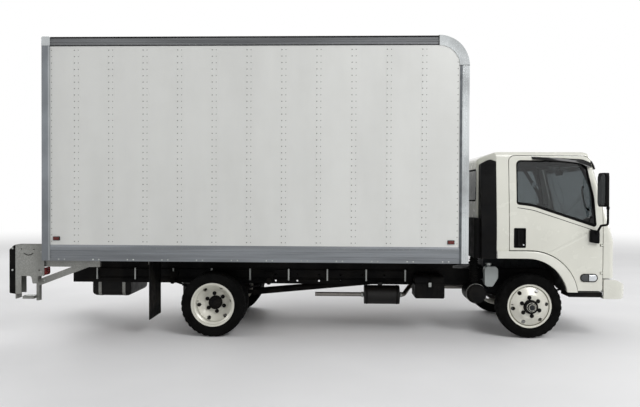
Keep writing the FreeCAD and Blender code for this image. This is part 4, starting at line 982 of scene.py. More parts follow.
def both(work: Work, finish: Finish, body: str, angle: float = 32.0, stem: str = "") -> None:
    """Dresses a right-hand piece and its left-hand copy.

    Args:
        work: The right-hand piece.
        finish: Their finish.
        body: Body name, where SIDE stands for the side.
        angle: Largest turn in degrees that shades smooth.
        stem: Name without its side, where it isn't the piece's own.
    """
    stem = stem or work.obj.name
    copy = work.opposite("left_" + stem)
    copy.dress(finish, body.replace("SIDE", "left"), angle)
    work.obj.name = "right_" + stem
    work.dress(finish, body.replace("SIDE", "right"), angle)


def hexagon(name: str, start: Point, end: Point, size: float) -> Work:
    """Makes a hexagon head with a chamfered crown and a washer.

    Args:
        name: Piece name.
        start: Foot of the head.
        end: Crown of the head.
        size: Distance across its corners.

    Returns:
        The piece on the bench.
    """
    a, b = Vector(start), Vector(end)
    way = (b - a).normalized()
    nut = Work.rod(name, start, end, size / 2, sides=6)
    nut.pick(lambda p, n: n.dot(way) > 0.9).inset(size * 0.09, size * 0.06)
    return nut.join(Work.rod(name + "_washer", start, a + way * (b - a).length * 0.16, size * 0.62, sides=16))


def rivet_grid(name: str, spot: Point, out: Point, radius: float, first: tuple[int, Point],
        second: tuple[int, Point] = (1, (0, 0, 0))) -> Work:
    """Makes a grid of low domed rivet heads.

    Args:
        name: Piece name.
        spot: Centre of the first head, on the sheet.
        out: Direction that the heads stand towards.
        radius: Radius of a head.
        first: Number and step along the first row.
        second: Number of rows and the step between them.

    Returns:
        The piece on the bench.
    """
    set_down()
    bpy.ops.mesh.primitive_uv_sphere_add(segments=8, ring_count=6, radius=radius, location=spot)
    rivet = Work(name)
    rivet.cut(spot, out, False)
    way, middle = Vector(out), Vector(spot)
    rivet.pick(lambda p, n: (p - middle).dot(way) < 0)
    bpy.ops.mesh.delete(type="FACE")
    rivet.lay(lambda p: p - way * (p - middle).dot(way) * 0.55)
    rivet.row(first[0], first[1])
    return rivet.row(second[0], second[1]) if second[0] > 1 else rivet


# Studio


@dataclass
class Studio:
    """Pale floor, soft lamps and the camera at the photograph's angle."""

    camera_place: Point = (0.270, -8.535, 1.707)
    yaw: float = -1.83
    pitch: float = -0.74
    roll: float = 0.24
    focal_pixels: float = 628.8
    picture_width: float = 640.0
    world_strength: float = 0.45
    lamps: tuple[tuple[str, Point, float, float], ...] = (("key", (6.5, -8.5, 8.0), 5.0, 700.0),
        ("left_fill", (-5.0, 10.0, 7.5), 7.0, 480.0), ("front_fill", (12.0, 2.0, 5.0), 5.0, 300.0),
        ("rear_fill", (-12.0, -3.0, 5.0), 5.0, 300.0))

    def build(self) -> None:
        """Sets up the camera, the lamps, the floor and the world."""
        self.add_camera()
        self.add_lamps()
        self.add_floor()
        self.add_world()
        bpy.context.scene.view_settings.view_transform = "Standard"

    def add_camera(self) -> None:
        """Places the camera from the fitted angles."""
        yaw, pitch, roll = (math.radians(a) for a in (self.yaw, self.pitch, self.roll))
        ahead = Vector((math.sin(yaw) * math.cos(pitch), math.cos(yaw) * math.cos(pitch), math.sin(pitch)))
        level = Vector((math.cos(yaw), -math.sin(yaw), 0))
        up = level.cross(ahead)
        across = level * math.cos(roll) + up * math.sin(roll)
        upright = up * math.cos(roll) - level * math.sin(roll)
        set_down()
        bpy.ops.object.camera_add()
        camera = bpy.context.object
        camera.name = "photo_camera"
        turn = Matrix((across, upright, -ahead)).transposed().to_4x4()
        camera.matrix_world = Matrix.Translation(self.camera_place) @ turn
        camera.data.sensor_width = 36.0
        camera.data.lens = 36.0 * self.focal_pixels / self.picture_width
        camera.data.clip_end = 400.0
        bpy.context.scene.camera = camera

    def add_lamps(self) -> None:
        """Adds the soft lamps, each turned to the truck's middle."""
        for name, place, size, power in self.lamps:
            set_down()
            turn = (Vector((0, 0, 1.4)) - Vector(place)).to_track_quat("-Z", "Y").to_euler()
            bpy.ops.object.light_add(type="AREA", location=place, rotation=turn)
            lamp = bpy.context.object
            lamp.name = name + "_lamp"
            lamp.data.size = size
            lamp.data.energy = power

    def add_floor(self) -> None:
        """Adds the pale floor, which fades to white far from the truck."""
        set_down()
        bpy.ops.mesh.primitive_circle_add(vertices=96, radius=150, fill_type="NGON")
        floor = Work("studio_floor").obj
        bench = NodeBench("studio_floor")
        shader = bench.shader
        grain = bench.ramp(bench.noise(0.5, 3.0), 0.3, 0.7)
        bench.give(shader.inputs["Base Color"], bench.between(grain, linear("E3E3E4"), linear("E9E9EA")))
        shader.inputs["Roughness"].default_value = 0.6
        far = bench.tree.nodes.new("ShaderNodeVectorMath")
        far.operation = "LENGTH"
        bench.give(far.inputs[0], bench.place)
        seen = self.direct_rays(bench)
        amount = bench.maths("MULTIPLY", bench.ramp(far.outputs["Value"], 7.0, 26.0), seen)
        glow = bench.tree.nodes.new("ShaderNodeEmission")
        mix = bench.tree.nodes.new("ShaderNodeMixShader")
        output = next(n for n in bench.tree.nodes if n.type == "OUTPUT_MATERIAL")
        bench.give(mix.inputs[0], amount)
        bench.give(mix.inputs[1], shader.outputs[0])
        bench.give(mix.inputs[2], glow.outputs[0])
        bench.give(output.inputs[0], mix.outputs[0])
        floor.data.materials.append(bench.material)

    @staticmethod
    def direct_rays(bench: NodeBench) -> bpy.types.NodeSocket:
        """Tells rays that see the background directly, in a gloss or through glass.

        Args:
            bench: Node tree to build in.

        Returns:
            1 for such rays and 0 for others.
        """
        path = bench.tree.nodes.new("ShaderNodeLightPath")
        seen = bench.maths("ADD", path.outputs["Is Camera Ray"], path.outputs["Is Glossy Ray"])
        seen = bench.maths("ADD", seen, path.outputs["Is Transmission Ray"])
        return bench.maths("MINIMUM", seen, 1.0)

    def add_world(self) -> None:
        """Sets an even world that looks white and lights more weakly."""
        world = bpy.data.worlds.new("studio_world")
        bpy.context.scene.world = world
        world.use_nodes = True
        tree = world.node_tree
        back = tree.nodes["Background"]
        path = tree.nodes.new("ShaderNodeLightPath")
        gloss = tree.nodes.new("ShaderNodeMath")
        gloss.operation = "MAXIMUM"
        tree.links.new(path.outputs["Is Glossy Ray"], gloss.inputs[0])
        tree.links.new(path.outputs["Is Transmission Ray"], gloss.inputs[1])
        seen = tree.nodes.new("ShaderNodeMath")
        seen.operation = "MAXIMUM"
        tree.links.new(gloss.outputs[0], seen.inputs[0])
        tree.links.new(path.outputs["Is Camera Ray"], seen.inputs[1])
        level = tree.nodes.new("ShaderNodeMapRange")
        level.inputs["To Min"].default_value = self.world_strength
        level.inputs["To Max"].default_value = 1.0
        tree.links.new(seen.outputs[0], level.inputs["Value"])
        tree.links.new(level.outputs[0], back.inputs["Strength"])
        back.inputs["Color"].default_value = (1, 1, 1, 1)


@dataclass
class Livery:
    """Finishes of the CAD nodes that show."""

    plain: tuple[tuple[Finish, str], ...] = (
        (CHASSIS, "chassis_frame floor_sills"), (SPRING, "leaf_springs"),
        (AXLE, "front_axle rear_axle propshaft"), (AXLE, "right_knuckle left_knuckle"), (ENGINE, "engine"),
        (TANK, "fuel_tank"), (SILENCER, "exhaust"),
        (BLACK_PLASTIC, "battery_box air_cleaner air_intake cab_steps steering_wheel"),
        (BOTTLE, "coolant_bottle"), (BLACK_PLASTIC, "right_mirror left_mirror"), (FLAP, "mudflaps"),
        (BLACK_RUBBER, "dock_bumpers"), (ZINC, "rear_step"), (RED_LENS, "tail_lamps"), (WOOD, "load_floor"),
        (BODY_WHITE, "side_walls front_wall"), (BODY_WHITE, "load_roof"), (RAIL, "box_rails"),
        (POLISHED, "front_posts"), (FRAME_STEEL, "rear_frame"), (DOOR_WHITE, "rear_door"),
        (CAB_WHITE, "cab_roof cab_rear_wall cab_front_panel cab_side_frames"),
        (CAB_WHITE, "front_bumper right_door left_door"), (ARCH, "wheel_arches"),
        (GLASS, "cab_glass right_door_glass left_door_glass"), (INTERIOR_DARK, "cab_floor"),
        (INTERIOR, "dashboard"), (CLOTH, "seats"), (FRONT_WHEEL, "right_front_wheel left_front_wheel"),
        (REAR_WHEEL, "right_rear_wheels left_rear_wheels"))

    def build(self) -> None:
        """Gives every CAD node its finish."""
        left = set(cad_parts)
        for finish, names in self.plain:
            for name in names.split():
                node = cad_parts[name]
                node.data.materials.clear()
                node.data.materials.append(finish.material())
                left.discard(name)
        LOG.info("nodes that other pieces replace: %s", sorted(left))


# Running gear


@dataclass
class Tyres:
    """Six tyres with ribbed treads and open shoulders, in place of the plain ones."""

    radius: float = 0.385
    half_width: float = 0.1075
    steps: int = 64
    front_y: float = 0.832
    rear_y: tuple[float, float] = (0.701, 0.951)

    def profile(self) -> list[Point]:
        """Returns the half section as (outward, radius) points, bead to bead and back inside."""
        w, r = self.half_width, self.radius
        side = [(-0.078, 0.250), (-0.0815, 0.262), (-0.093, 0.268), (-0.0975, 0.274), (-0.0965, 0.279),
            (-0.1035, 0.290), (-0.1045, 0.293), (-0.1042, 0.297), (-w + 0.0012, 0.312), (-w + 0.0006, 0.322),
            (-w + 0.0018, 0.335), (-w + 0.0045, 0.346), (-w + 0.006, 0.350), (-w + 0.0085, 0.3685)]
        tread = [(-0.094, r - 0.0065), (-0.084, r - 0.0035), (-0.056, r - 0.0012), (-0.0545, r - 0.012),
            (-0.0475, r - 0.012), (-0.046, r - 0.0008), (-0.018, r - 0.0003), (-0.0168, r - 0.0125),
            (-0.0098, r - 0.0125), (-0.0085, r - 0.0002)]
        outer = side + tread
        inner = [(0.055, 0.2535), (0.066, 0.275), (0.084, 0.320), (0.072, 0.362), (-0.072, 0.362),
            (-0.084, 0.320), (-0.066, 0.275), (-0.055, 0.2535)]
        return outer + [(-o, rr) for o, rr in reversed(outer)] + inner

    def shape(self, name: str, centre: Point) -> Work:
        """Makes one tyre.

        Args:
            name: Piece name.
            centre: Its centre.

        Returns:
            The piece on the bench.
        """
        work = Work.turned(name, self.profile(), centre, 1, self.steps)
        middle = Vector(centre)
        pitch = math.tau / self.steps

        def notch(p: Vector, n: Vector) -> bool:
            """Finds the open slots.

            Args:
                p: A face's centre.
                n: Its normal.

            Returns:
                Whether it lies in an open slot of the shoulder rib.
            """
            flat = Vector((p.x - middle.x, 0, p.z - middle.z))
            turn = int((math.atan2(flat.z, flat.x) % math.tau) / pitch)
            aside = abs(p.y - middle.y)
            rib = 0.06 < aside < 0.1 and flat.length > self.radius - 0.018
            return rib and turn % 2 == 0 and n.dot(flat.normalized()) > 0.25

        work.pick(notch)
        bpy.ops.mesh.inset(thickness=0.003, depth=-0.0055, use_individual=False)
        return work

    def build(self) -> None:
        """Makes and dresses the front tyres and the pairs of rear ones."""
        for side, word in SIDES:
            front = self.shape(word + "_front_tread", (FRONT_AXLE, side * self.front_y, AXLE_Z))
            front.dress(TYRE, word + "_front_wheel_body", 28, word + "_front_tyre")
            pair = [self.shape(f"{word}_rear_tread_{k}", (REAR_AXLE, side * y, AXLE_Z)) for k,
                y in enumerate(self.rear_y)]
            pair[0].join(pair[1]).dress(TYRE, word + "_rear_wheel_body", 28, word + "_rear_tyres")


@dataclass
class WheelFittings:
    """Nuts, studs, hub covers, axle flange bolts and valves of the wheels."""

    nut_circle: float = 0.111
    nut_turn: float = 38.0
    nut_size: float = 0.040
    front_face: float = 0.957
    rear_face: float = 0.836

    def nuts(self, stem: str, axle_x: float, face: float, count: int = 6) -> Work:
        """Makes the right-hand wheel's nuts with their stud ends.

        Args:
            stem: Name without its side.
            axle_x: The axle's place.
            face: Distance of the disc's outer face from the middle plane.
            count: How many there are.

        Returns:
            The piece on the bench.
        """
        turn = math.radians(self.nut_turn)
        spot = (axle_x + self.nut_circle * math.cos(turn), -face, AXLE_Z + self.nut_circle * math.sin(turn))
        end = (spot[0], -face - 0.024, spot[2])
        nut = hexagon(stem, spot, end, self.nut_size)
        nut.join(Work.rod(stem + "_stud", end, (spot[0], -face - 0.036, spot[2]), 0.0105, sides=12,
                edge=0.0015))
        return nut.ring(count, (axle_x, 0, AXLE_Z))

    def build(self) -> None:
        """Makes and dresses everything on both sides."""
        both(self.nuts("front_wheel_nuts", FRONT_AXLE, self.front_face), SPRING, "SIDE_front_wheel_body",
            stem="front_wheel_nuts")
        both(self.nuts("rear_wheel_nuts", REAR_AXLE, self.rear_face), SPRING, "SIDE_rear_wheel_body",
            stem="rear_wheel_nuts")
        cover = Work.turned("front_hub_cover", [(0.1255, 0.072), (0.1255, 0.086), (0.132, 0.086),
                (0.134, 0.0815), (0.160, 0.0805, 0.003), (0.1665, 0.0755, 0.002), (0.168, 0.052),
                (0.1735, 0.0465), (0.1735, 0.041), (0.160, 0.041)], (FRONT_AXLE, -0.832, AXLE_Z), -1)
        both(cover, AXLE, "SIDE_front_wheel_body", 40)
        cap = Work.turned("front_hub_cap", [(0.168, 0.0), (0.168, 0.0425), (0.186, 0.0415, 0.002),
                (0.1885, 0.0365), (0.1945, 0.0345, 0.003), (0.1975, 0.026, 0.002), (0.1965, 0.0)],
            (FRONT_AXLE, -0.832, AXLE_Z), -1)
        both(cap, ENGINE, "SIDE_front_wheel_body", 40)
        bolt = hexagon("front_hub_bolts", (FRONT_AXLE + 0.063, -0.999, AXLE_Z),
            (FRONT_AXLE + 0.063, -1.008, AXLE_Z), 0.015)
        both(bolt.ring(8, (FRONT_AXLE, 0, AXLE_Z)), SPRING, "SIDE_front_wheel_body")
        flange = Work.turned("rear_axle_flange", [(0.0105, 0.0), (0.0105, 0.084), (0.040, 0.0825),
                (0.050, 0.0815, 0.003), (0.0565, 0.078, 0.002), (0.064, 0.0655, 0.003), (0.067, 0.042),
                (0.0735, 0.038, 0.002), (0.0745, 0.0)], (REAR_AXLE, -0.826, AXLE_Z), -1)
        both(flange, AXLE, "SIDE_rear_wheel_body", 40)
        bolt = hexagon("rear_flange_bolts", (REAR_AXLE + 0.054, -0.890, AXLE_Z),
            (REAR_AXLE + 0.054, -0.902, AXLE_Z), 0.017)
        both(bolt.ring(8, (REAR_AXLE, 0, AXLE_Z)), SPRING, "SIDE_rear_wheel_body")
        for stem, x, y, body in (("front_valve", FRONT_AXLE, 0.925, "SIDE_front_wheel_body"),
                ("rear_valve", REAR_AXLE, 0.872, "SIDE_rear_wheel_body")):
            stalk = Work.tube(stem, [(x - 0.228, -y + 0.03, AXLE_Z + 0.02),
                    (x - 0.214, -y + 0.012, AXLE_Z + 0.02), (x - 0.208, -y - 0.01, AXLE_Z + 0.02),
                    (x - 0.205, -y - 0.03, AXLE_Z + 0.02)], 0.0042)
            both(stalk, BLACK_RUBBER, body)


# Cab


def side_skin(z: float) -> float:
    """Returns how far the cab's side stands from the middle plane at a height."""
    return 1.0 - 0.0043 * (1.33 - z) if z < 1.33 else 1.0 - 0.0819 * (z - 1.33)


def front_skin(y: float, z: float) -> float:
    """Measures the cab's front.

    Args:
        y: Place across the truck.
        z: Height.

    Returns:
        The front's place along the truck.
    """
    corner = max(0.0, abs(y) - (side_skin(z) - CAB_CORNER))
    rounded = math.sqrt(max(0.0, CAB_CORNER ** 2 - corner ** 2)) - CAB_CORNER
    return CAB_NOSE - SCREEN_LEAN * max(0.0, z - SCREEN_FOOT) + rounded


def on_side(depth: float) -> Callable[[float, float], Point]:
    """Gives places on the right side of the cab, from points measured forward of the front axle.

    Args:
        depth: How far inside the skin they lie; less than nothing stands proud.

    Returns:
        The function that places a point.
    """
    return lambda a, b: (FRONT_AXLE + a, depth - side_skin(b), b)


def on_front(depth: float) -> Callable[[float, float], Point]:
    """Gives places on the cab's front.

    Args:
        depth: How far inside the skin they lie.

    Returns:
        The function that places a point.
    """
    return lambda a, b: (front_skin(a, b) - depth, a, b)


@dataclass
class DoorTrim:
    """Rubbers, visor, handle, lamp, mirror glass and inner trim of the two doors."""

    window: tuple[Point, ...] = ((-0.180, 1.608, 0.036), (-0.180, 2.139, 0.055), (0.640, 2.135, 0.080),
        (0.734, 1.690, 0.5), (0.756, 1.337, 0.030), (0.008, 1.586, 0.6))
    rubber: float = 0.015
    body: str = "SIDE_door_body"

    def window_seals(self) -> None:
        """Adds the window rubber, the black front division, the sill's rubber and a line of painted shade below
        it.
        """
        sill = Work.slab("sill_rubber", [(-0.172, 1.612, 0.004), (-0.172, 1.640, 0.004), (0.015, 1.618, 0.6),
                (0.735, 1.380, 0.01), (0.750, 1.345, 0.01), (0.008, 1.590, 0.6)], on_side(-0.004),
            (0, 0.014, 0), 0.002)
        both(sill, BLACK_RUBBER, self.body)
        seal = Work.band("window_rubber", self.window, self.rubber, on_side(-0.0025), (0, 0.020, 0))
        both(seal.sharp_bevel(0.002, 1), BLACK_RUBBER, self.body)
        front = Work.slab("window_front_trim", [(0.52, 2.128, 0.01), (0.562, 2.092, 0.05), (0.688, 1.802, 0.5),
                (0.708, 1.478, 0.03), (0.600, 1.436, 0.01), (0.604, 1.394), (0.746, 1.347, 0.02),
                (0.727, 1.690, 0.5), (0.636, 2.128, 0.07)], on_side(0.0176), (0, -0.006, 0), 0.001)
        both(front, GLOSS_BLACK, self.body)
        # A thin dark line of painted shade under the sill rubber.
        line = Work.slab("sill_shade_line", [(-0.172, 1.574, 0.002), (0.004, 1.549, 0.6), (0.746, 1.302, 0.002),
                (0.744, 1.295, 0.002), (0.002, 1.542, 0.6), (-0.172, 1.567, 0.002)], on_side(0.002),
            (0, -0.004, 0))
        both(line, SEAM_SHADOW, self.body)

    def visor(self) -> None:
        """Adds the rain visor above the window, standing out at its lower edge."""
        shape = Work.slab("rain_visor", [(0.0, 2.180, 0.004), (0.416, 2.161, 0.3), (0.600, 2.150, 0.15),
                (0.690, 2.112, 0.02), (0.704, 2.046, 0.01), (0.640, 2.058, 0.05), (0.580, 2.098, 0.1),
                (0.417, 2.120, 0.3), (0.012, 2.146, 0.01)], on_side(0.001), (0, -0.009, 0), 0.002)
        shape.lay(lambda p: (p.x, p.y - 0.28 * max(0.0, 2.165 - p.z), p.z))
        both(shape, GLOSS_BLACK, self.body, 40)

    def handle(self) -> None:
        """Adds the black handle tub with its upright pull and key cylinder."""
        tub = oblong(-0.215, 1.093, -0.074, 1.328, 0.016)
        rim = Work.band("handle_rim", tub, 0.009, on_side(-0.003), (0, 0.024, 0))
        both(rim.sharp_bevel(0.0015, 1), BLACK_PLASTIC, self.body)
        both(Work.slab("handle_tub", tub, on_side(0.0222), (0, -0.003, 0)), BLACK_PLASTIC, self.body)
        pull = Work.slab("handle_pull", oblong(-0.172, 1.112, -0.122, 1.309, 0.012), on_side(0.010),
            (0, -0.012, 0), 0.004)
        pull.pick(lambda p, n: n.y < -0.9 and abs(p.z - 1.21) < 0.02).inset(0.010, -0.004)
        both(pull, BLACK_PLASTIC, self.body)
        key = Work.rod("door_lock", (FRONT_AXLE - 0.098, -0.9785, 1.128), (FRONT_AXLE - 0.098, -0.992, 1.128),
            0.0095, sides=20, edge=0.0015)
        key.pick(lambda p, n: n.y < -0.9).inset(0.003, -0.001)
        both(key, CHROME, self.body)

    def lamp(self) -> None:
        """Adds the oval side lamp: smoked rear lens, front lens in the reflector's finish and black bezel."""
        oval = oblong(0.565, 0.694, 0.771, 0.791, 0.047)
        rim = Work.band("side_lamp_rim", oval, 0.011, on_side(0.001), (0, -0.011, 0))
        both(rim.sharp_bevel(0.003, 2), BLACK_PLASTIC, self.body)
        inner = [(0.575, 0.704, 0.037), (0.575, 0.781, 0.037), (0.660, 0.781, 0.003), (0.660, 0.704, 0.003)]
        smoked = Work.slab("side_lamp_rear", inner, on_side(0.001), (0, -0.010, 0), 0.003)
        both(smoked, SMOKED_LENS, self.body)
        outer = [(0.668, 0.704, 0.003), (0.668, 0.781, 0.003), (0.761, 0.781, 0.037), (0.761, 0.704, 0.037)]
        both(Work.slab("side_lamp_front", outer, on_side(0.001), (0, -0.010, 0), 0.003), REFLECTOR, self.body)
        rib = Work.cube("side_lamp_rib", (FRONT_AXLE + 0.660, -1.008, 0.703),
            (FRONT_AXLE + 0.668, -0.996, 0.782), 0.0015, 1)
        both(rib, BLACK_PLASTIC, self.body)

    def mirror(self) -> None:
        """Adds the mirror's glass, its rim, its foot and the collar on its arm."""
        def place(a: float, b: float) -> Point:
            """Returns a point on the mirror head's rear face."""
            return (FRONT_AXLE + 0.7365 + (abs(a) - 1.06) / 0.22 * 0.007, a, b)

        outline = oblong(-1.272, 1.598, -1.069, 1.970, 0.050)
        rim = Work.band("mirror_rim", outline, 0.007, place, (-0.0065, 0, 0))
        both(rim.sharp_bevel(0.0015, 1), BLACK_PLASTIC, self.body)
        pane = Work.slab("mirror_pane", [(a * 0.9999, b, r) for a, b, r in outline], place, (-0.0035, 0, 0))
        pane.lay(lambda p: (p.x, -1.1705 + (p.y + 1.1705) * 0.93, 1.784 + (p.z - 1.784) * 0.965))
        both(pane, MIRROR, self.body)
        foot = Work.slab("mirror_foot", [(0.676, 1.172, 0.015), (0.676, 1.308, 0.015), (0.766, 1.298, 0.015),
                (0.766, 1.158, 0.015)], on_side(-0.0375), (0, -0.006, 0), 0.004)
        foot.pick(lambda p, n: n.y < -0.9).inset(0.012, -0.002)
        both(foot, BLACK_PLASTIC, self.body)
        collar = Work.rod("mirror_collar", (FRONT_AXLE + 0.7732, -1.262, 1.560),
            (FRONT_AXLE + 0.773, -1.262, 1.592), 0.018, sides=20, edge=0.003)
        both(collar, BLACK_PLASTIC, self.body)

    def inside(self) -> None:
        """Adds the inner panel with its armrest, pull, winder and speaker, and the window's liner."""
        panel = Work.slab("door_panel", [(-0.245, 1.080, 0.02), (-0.245, 1.560, 0.03), (0.010, 1.540, 0.3),
                (0.735, 1.300, 0.03), (0.775, 1.050, 0.05), (0.775, 0.640, 0.05), (0.600, 0.640, 0.03),
                (0.520, 0.860, 0.2), (0.250, 1.070, 0.3)], on_side(0.0495), (0, 0.012, 0), 0.003)
        panel.pick(lambda p, n: n.y > 0.9).inset(0.035, 0.004)
        both(panel, INTERIOR, self.body)
        arm = Work.cube("door_armrest", (FRONT_AXLE + 0.02, -0.946, 1.255), (FRONT_AXLE + 0.33, -0.900, 1.300),
            0.014, 3)
        both(arm, INTERIOR_DARK, self.body)
        pull = Work.tube("door_pull", [(FRONT_AXLE + 0.36, -0.945, 1.31), (FRONT_AXLE + 0.36, -0.912, 1.315),
                (FRONT_AXLE + 0.43, -0.908, 1.30), (FRONT_AXLE + 0.50, -0.912, 1.285),
                (FRONT_AXLE + 0.50, -0.945, 1.28)], 0.008)
        both(pull, INTERIOR_DARK, self.body)
        speaker = Work.rod("door_speaker", (FRONT_AXLE + 0.66, -0.942, 0.80), (FRONT_AXLE + 0.66, -0.930, 0.80),
            0.075, sides=32, edge=0.003)
        speaker.pick(lambda p, n: n.y > 0.9).inset(0.010, -0.003)
        both(speaker, INTERIOR_DARK, self.body)
        winder = Work.rod("window_winder", (FRONT_AXLE + 0.42, -0.944, 1.12), (FRONT_AXLE + 0.42, -0.920, 1.12),
            0.024, 0.018, sides=20, edge=0.003)
        crank = Work.cube("winder_arm", (FRONT_AXLE + 0.41, -0.928, 1.10), (FRONT_AXLE + 0.53, -0.921, 1.126),
            0.003, 1)
        knob = Work.rod("winder_knob", (FRONT_AXLE + 0.52, -0.926, 1.113), (FRONT_AXLE + 0.52, -0.895, 1.113),
            0.011, sides=16, edge=0.003)
        both(winder.join(crank, knob), INTERIOR_DARK, self.body)
        liner = Work.band("window_liner", [(a, b, r + 0.02) for a, b, r in self.window], 0.018, on_side(0.0252),
            (0, 0.028, 0))
        both(liner, INTERIOR_DARK, self.body)

    def build(self) -> None:
        """Makes and dresses all of it."""
        self.window_seals()
        self.visor()
        self.handle()
        self.lamp()
        self.mirror()
        self.inside()


@dataclass
class CabFront:
    """Windscreen rubber, wipers, visor, grille, headlamps and seams of the cab's front."""

    screen: tuple[Point, ...] = ((-0.912, 1.222, 0.07), (-0.855, 2.080, 0.09), (0.855, 2.080, 0.09),
        (0.912, 1.222, 0.07))
    rear_window: tuple[Point, ...] = ((-0.730, 1.640, 0.06), (-0.750, 2.040, 0.06), (0.750, 2.040, 0.06),
        (0.730, 1.640, 0.06))
    lamp: tuple[Point, ...] = ((-0.936, 0.777, 0.026), (-0.936, 0.946, 0.036), (-0.611, 0.946, 0.054),
        (-0.668, 0.777, 0.026))
    grille: tuple[Point, ...] = ((-0.541, 0.989, 0.022), (-0.541, 1.131, 0.022), (0.541, 1.131, 0.022),
        (0.541, 0.989, 0.022))

    def glazing(self) -> None:
        """Adds the rubbers of the windscreen and the rear window."""
        seal = Work.band("screen_rubber", self.screen, 0.020, on_front(-0.003), (-0.017, 0, 0))
        seal.sharp_bevel(0.002, 1).dress(BLACK_RUBBER, CAB)
        back = CAB_NOSE - 1.588
        seal = Work.band("rear_window_rubber", self.rear_window, 0.018, across(back - 0.003), (0.017, 0, 0))
        seal.sharp_bevel(0.002, 1).dress(BLACK_RUBBER, CAB)

    def wipers(self) -> None:
        """Adds two parked wipers on their spindles."""
        for k, (foot, tip) in enumerate((((-0.30, 1.205), (-0.82, 1.262)), ((0.52, 1.205), (-0.02, 1.262)))):
            def spot(y: float, z: float, proud: float) -> Point:
                """Returns a point that stands proud of the front skin."""
                return (front_skin(y, z) + proud, y, z)

            spindle = Work.rod(f"wiper_spindle_{k}", spot(foot[0], foot[1], -0.006),
                spot(foot[0], foot[1], 0.020), 0.014, 0.011, sides=20, edge=0.002)
            spindle.dress(BLACK_PLASTIC, CAB)
            elbow = (foot[0] - 0.16, foot[1] + 0.052)
            arm = Work.tube(f"wiper_arm_{k}", [spot(*foot, 0.016), spot(*elbow, 0.014), spot(*tip, 0.006)],
                0.0045, 0.003)
            arm.dress(BLACK_PLASTIC, CAB)
            low, high = tip[0], elbow[0] + 0.12
            blade = Work.slab(f"wiper_blade_{k}", oblong(low, 1.256, high, 1.270, 0.003), on_front(0.010),
                (0.010, 0, 0), 0.002)
            blade.dress(BLACK_RUBBER, CAB)

    def visor(self) -> None:
        """Adds the dark visor over the windscreen, carried round both corners."""
        profile = [(0.003, 2.138, 0.002), (0.013, 2.130, 0.010), (0.024, 2.085, 0.03), (0.026, 2.044, 0.006),
            (0.020, 2.030, 0.004), (0.010, 2.036, 0.003), (0.002, 2.075, 0.02)]
        end = 0.910
        work = Work.slab("screen_visor", profile, along(-end), (0, 2 * end, 0))
        for step in range(5):
            for side in (-1, 1):
                work.cut((0, side * (0.838 + 0.018 * step), 0), (0, 1, 0))

        def wrap(p: Vector) -> Point:
            """Carries the straight bar round the cab's corners.

            Args:
                p: A point of the bar.

            Returns:
                The point's new place.
            """
            half = side_skin(p.z) - CAB_CORNER
            front = CAB_NOSE - SCREEN_LEAN * (p.z - SCREEN_FOOT)
            over = abs(p.y) - half
            if over <= 0:
                return (front + p.x, p.y, p.z)
            turn = over / CAB_CORNER
            reach = CAB_CORNER + p.x
            return (front - CAB_CORNER + reach * math.cos(turn),
                math.copysign(half + reach * math.sin(turn), p.y), p.z)

        work.lay(wrap).dress(GLOSS_BLACK, CAB, 40)
        for y in (-0.62, 0.0, 0.62):
            foot = Work.cube("visor_foot", (front_skin(y, 2.06) - 0.012, y - 0.025, 2.075),
                (front_skin(y, 2.06) + 0.010, y + 0.025, 2.10), 0.002, 1)
            foot.dress(BLACK_PLASTIC, CAB)

    def grilles(self) -> None:
        """Adds the grille's surround, bars and mesh."""
        face = CAB_NOSE
        surround = Work.band("grille_surround", self.grille, 0.013, across(face + 0.014), (-0.040, 0, 0))
        surround.sharp_bevel(0.003, 2).dress(CHROME, CAB)
        Work.cube("grille_back", (face - 0.0275, -0.535, 0.992),
            (face - 0.022, 0.535, 1.128)).dress(BLACK_PLASTIC, CAB)
        bar = Work.cube("grille_bars", (face - 0.016, -0.530, 1.019), (face + 0.006, 0.530, 1.030), 0.003, 2)
        bar.row(3, (0, 0, 0.0355)).dress(CHROME, CAB)
        slat = Work.cube("grille_slats", (face - 0.022, -0.527, 0.998), (face - 0.012, -0.522, 1.122), 0.001, 1)
        slat.row(32, (0, 0.034, 0)).dress(BLACK_PLASTIC, CAB)
        vent = Work.slab("cowl_vent", oblong(-0.78, 1.168, 0.78, 1.186, 0.008), across(face - 0.001),
            (0.0025, 0, 0), 0.001)
        vent.dress(BLACK_PLASTIC, CAB)

    def headlamps(self) -> None:
        """Adds the headlamps: bezel, bowls, bulbs, amber corner and clear cover."""
        face = CAB_NOSE

        def seat(depth: float) -> Callable[[float, float], Point]:
            """Returns places at a depth behind the nose's flat."""
            return lambda a, b: (face - depth + 0.25 * min(0.0, 0.86 - abs(a)), a, b)

